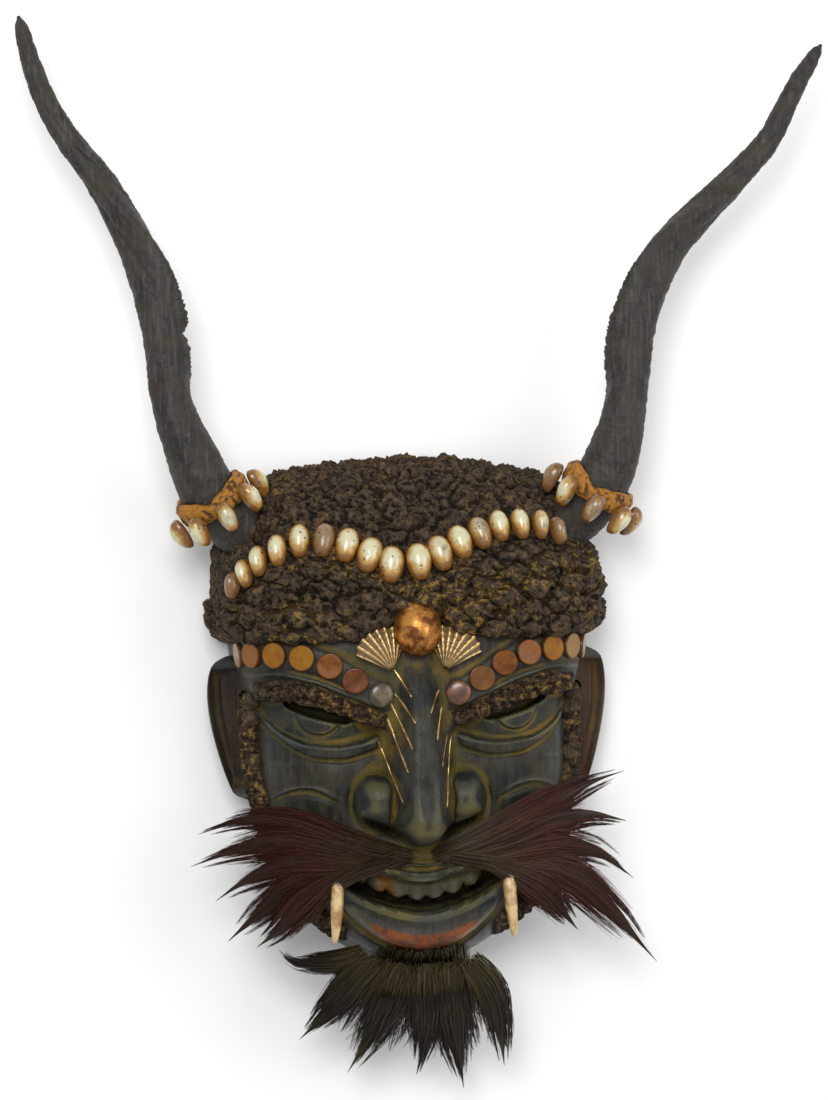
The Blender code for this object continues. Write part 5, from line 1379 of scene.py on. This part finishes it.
def old_bone(specks, streaks):
    made = Finish("old_bone", roughness=0.34, Coat_Weight=0.2)
    t = made.tree
    run = made.group(streaks, Place=made.place, Stretch=(1.0, 0.10, 1.0), Width=0.0016)
    dots = made.group(specks, Place=made.place, Speck_Size=0.0011, Share=0.16)
    cloud = noise(t, made.place, 0.010, 5.0, 0.6)
    colour = blended(t, spread(t, cloud, 0.36, 0.64), (0.60, 0.44, 0.20), (0.26, 0.115, 0.028))
    colour = blended(t, spread(t, run["Streak"], 0.52, 0.74, 0.0, 0.75), colour, (0.20, 0.085, 0.025))
    tip = spread(t, made.value("share"), 0.70, 1.0, 0.0, 0.35)
    colour = blended(t, tip, colour, (0.55, 0.36, 0.16))
    colour = blended(t, dots["Mask"], colour, (0.04, 0.022, 0.010))
    made.feed("Base Color", colour)
    made.bump(maths(t, "ADD", run["Streak"], maths(t, "MULTIPLY", dots["Mask"], -0.8)), 0.0003, 0.7)
    return made.material


def worn_gilt(name, specks, deep=(0.16, 0.045, 0.016), bright=(0.80, 0.40, 0.10), shine=0.85):
    """Copper gilding, rubbed bright and dark in patches."""
    made = Finish(name, roughness=0.32, metallic=shine)
    t = made.tree
    cloud = noise(t, made.place, 0.0075, 7.0, 0.68)
    dots = made.group(specks, Place=made.place, Speck_Size=0.0010, Share=0.28)
    colour = blended(t, spread(t, cloud, 0.38, 0.62), deep, bright)
    colour = blended(t, maths(t, "MULTIPLY", dots["Mask"], 0.7), colour, (0.05, 0.022, 0.012))
    made.feed("Base Color", colour)
    made.feed("Roughness", spread(t, cloud, 0.35, 0.65, 0.48, 0.26))
    made.bump(cloud, 0.0003, 0.5)
    return made.material


def gilded_shell(specks):
    """Gold on the ribs of the fan shells, and dark grooves between them."""
    made = Finish("gilded_shell", roughness=0.34)
    t = made.tree
    cloud = noise(t, made.place, 0.0060, 6.0, 0.65)
    gold = spread(t, maths(t, "ADD", made.value("ridge"), swing(t, cloud, 0.9)), 0.45, 0.80)
    dots = made.group(specks, Place=made.place, Speck_Size=0.0008, Share=0.2)
    colour = blended(t, gold, (0.120, 0.078, 0.030), (0.54, 0.36, 0.15))
    colour = blended(t, maths(t, "MULTIPLY", dots["Mask"], 0.6), colour, (0.04, 0.028, 0.016))
    made.feed("Base Color", colour)
    made.feed("Metallic", maths(t, "MULTIPLY", gold, 0.85))
    made.bump(cloud, 0.0002, 0.5)
    return made.material


def horse_hair(name, root, middle, tip):
    made = Finish(name, roughness=0.42, Specular_IOR_Level=0.22)
    t = made.tree
    along, odd = made.value("along"), made.value("odd")
    colour = blended(t, spread(t, along, 0.05, 0.55), root, middle)
    colour = blended(t, spread(t, along, 0.55, 1.0), colour, tip)
    light = spread(t, odd, 0.0, 1.0, 0.55, 1.65)
    shade = grey(t, light)
    made.feed("Base Color", blended(t, 1.0, colour, shade, "MULTIPLY"))
    made.feed("Roughness", spread(t, odd, 0.0, 1.0, 0.34, 0.55))
    return made.material


def amber_disc(specks):
    """Polished horn discs from honey through orange to red brown, darker at the rim, some pale."""
    made = Finish("amber_disc", roughness=0.30, Specular_IOR_Level=0.22, Coat_Weight=0.06,
                  Coat_Roughness=0.15)
    t = made.tree
    cloud = noise(t, made.place, 0.0055, 5.0, 0.6)
    shifted = maths(t, "ADD", made.value("tone"), swing(t, cloud, 0.8))
    colour = blended(t, spread(t, shifted, 0.05, 0.45), (0.085, 0.022, 0.003), (0.200, 0.062, 0.003))
    colour = blended(t, spread(t, shifted, 0.45, 0.85), colour, (0.250, 0.108, 0.004))
    colour = blended(t, maths(t, "MULTIPLY", made.value("pale"), 0.8), colour, (0.270, 0.160, 0.060))
    rim = spread(t, made.value("out"), 0.84, 1.0)
    colour = blended(t, maths(t, "MULTIPLY", rim, 0.85), colour, (0.040, 0.016, 0.004))
    dots = made.group(specks, Place=made.place, Speck_Size=0.0010, Share=0.12)
    colour = blended(t, maths(t, "MULTIPLY", dots["Mask"], 0.6), colour, (0.06, 0.03, 0.012))
    made.feed("Base Color", colour)
    made.feed("Roughness", spread(t, cloud, 0.35, 0.7, 0.20, 0.42))
    made.bump(cloud, 0.00025, 0.5)
    return made.material


def dark_bead(specks):
    made = Finish("dark_bead", roughness=0.30, Coat_Weight=0.3)
    t = made.tree
    cloud = noise(t, made.place, 0.0060, 5.0, 0.6)
    # The left bead olive with dull gold patches: its own colour, with painted sheen.
    olive_and_sheen = blended(t, spread(t, cloud, 0.38, 0.66), (0.030, 0.028, 0.016), (0.120, 0.095, 0.045))
    warm = blended(t, spread(t, cloud, 0.38, 0.66), (0.050, 0.020, 0.012), (0.165, 0.052, 0.020))
    colour = blended(t, made.value("warm"), olive_and_sheen, warm)
    dots = made.group(specks, Place=made.place, Speck_Size=0.0009, Share=0.15)
    made.feed("Base Color", blended(t, maths(t, "MULTIPLY", dots["Mask"], 0.6), colour, (0.02, 0.015, 0.010)))
    made.bump(cloud, 0.0002, 0.5)
    return made.material


def floor_and_light():
    """A pale plain floor under the mask, a broad soft light over its face and gentle ones beside."""
    mesh = bpy.data.meshes.new("floor")
    corners = [(x, y, -0.0005) for x, y in ((-4, -4), (4, -4), (4, 4), (-4, 4))]
    mesh.from_pydata(corners, [], [(0, 1, 2, 3)])
    pale = Finish("pale_floor", roughness=0.9)
    pale.shader.inputs["Base Color"].default_value = (0.93, 0.93, 0.93, 1)
    mesh.materials.append(pale.material)
    floor = bpy.data.objects.new("floor", mesh)
    bpy.context.scene.collection.objects.link(floor)
    world = bpy.data.worlds.new("studio")
    world.use_nodes = True
    world.node_tree.nodes["Background"].inputs["Color"].default_value = (1.0, 1.0, 1.0, 1)
    world.node_tree.nodes["Background"].inputs["Strength"].default_value = 0.62
    bpy.context.scene.world = world
    bpy.context.scene.view_settings.view_transform = "Standard"
    lights = (("overhead_soft", (-0.30, 0.75, 1.55), 0.7, 15.0), ("side_soft", (0.95, 0.35, 0.95), 0.7, 4.0))
    for name, at, size, power in lights:
        light = bpy.data.lights.new(name, "AREA")
        light.size = size
        light.energy = power
        made = bpy.data.objects.new(name, light)
        made.location = at
        made.rotation_mode = "QUATERNION"
        made.rotation_quaternion = (Vector(at) - Vector((0, 0.22, 0.05))).to_track_quat("Z", "Y")
        bpy.context.scene.collection.objects.link(made)


def photo_camera():
    """The photograph's view: nearly straight down, a little from the mask's left and slightly turned."""
    yaw, roll, distance = math.radians(6), math.radians(1.5), 1.640
    aim = Vector((0.0023, 0.250, 0.060))
    looking = Vector((math.sin(yaw), 0, -math.cos(yaw)))
    level = Vector((math.cos(yaw), 0, math.sin(yaw)))
    right = level * math.cos(roll) - Vector((0, 1, 0)) * math.sin(roll)
    up = level * math.sin(roll) + Vector((0, 1, 0)) * math.cos(roll)
    data = bpy.data.cameras.new("photo_view")
    data.sensor_width = 36.0
    data.lens = 18.0 * 2733 / 550
    data.clip_end = 20.0
    camera = bpy.data.objects.new("photo_view", data)
    turned = Matrix((right, up, -looking)).transposed().to_4x4()
    camera.matrix_world = Matrix.Translation(aim - looking * distance) @ turned
    bpy.context.scene.collection.objects.link(camera)
    bpy.context.scene.camera = camera


def main():
    dirt_shade_and_sheen, grain, specks, streaks = dirt_shade_and_sheen_group(), grain_group(), specks_group(), streaks_group()
    wood = blackened_wood(dirt_shade_and_sheen, grain, streaks)
    paste = knotted_paste(dirt_shade_and_sheen, grain)
    shell = cowrie_shell(specks)
    gilt = worn_gilt("worn_gilt", specks, (0.120, 0.034, 0.010), (0.62, 0.27, 0.060), 0.8)
    bright_gold = worn_gilt("gold_slivers", specks, (0.30, 0.14, 0.04), (0.85, 0.58, 0.24), 0.9)
    carved_wood(wood)
    ears(wood)
    hair_crust(paste)
    eyebrows(paste)
    sideburns(paste)
    garland(shell)
    brow_discs(amber_disc(specks), dark_bead(specks))
    forehead_boss(gilt)
    scallops(gilded_shell(specks))
    horns(dark_horn(dirt_shade_and_sheen, grain, streaks))
    horn_collars(ochre_resin(dirt_shade_and_sheen, grain), shell)
    fangs(old_bone(specks, streaks))
    nose_slivers(bright_gold)
    tufts(horse_hair("red_brown_hair", (0.030, 0.020, 0.010), (0.042, 0.013, 0.010), (0.026, 0.012, 0.010)),
          horse_hair("black_hair", (0.046, 0.036, 0.014), (0.020, 0.013, 0.010), (0.012, 0.009, 0.008)))
    floor_and_light()
    photo_camera()


main()
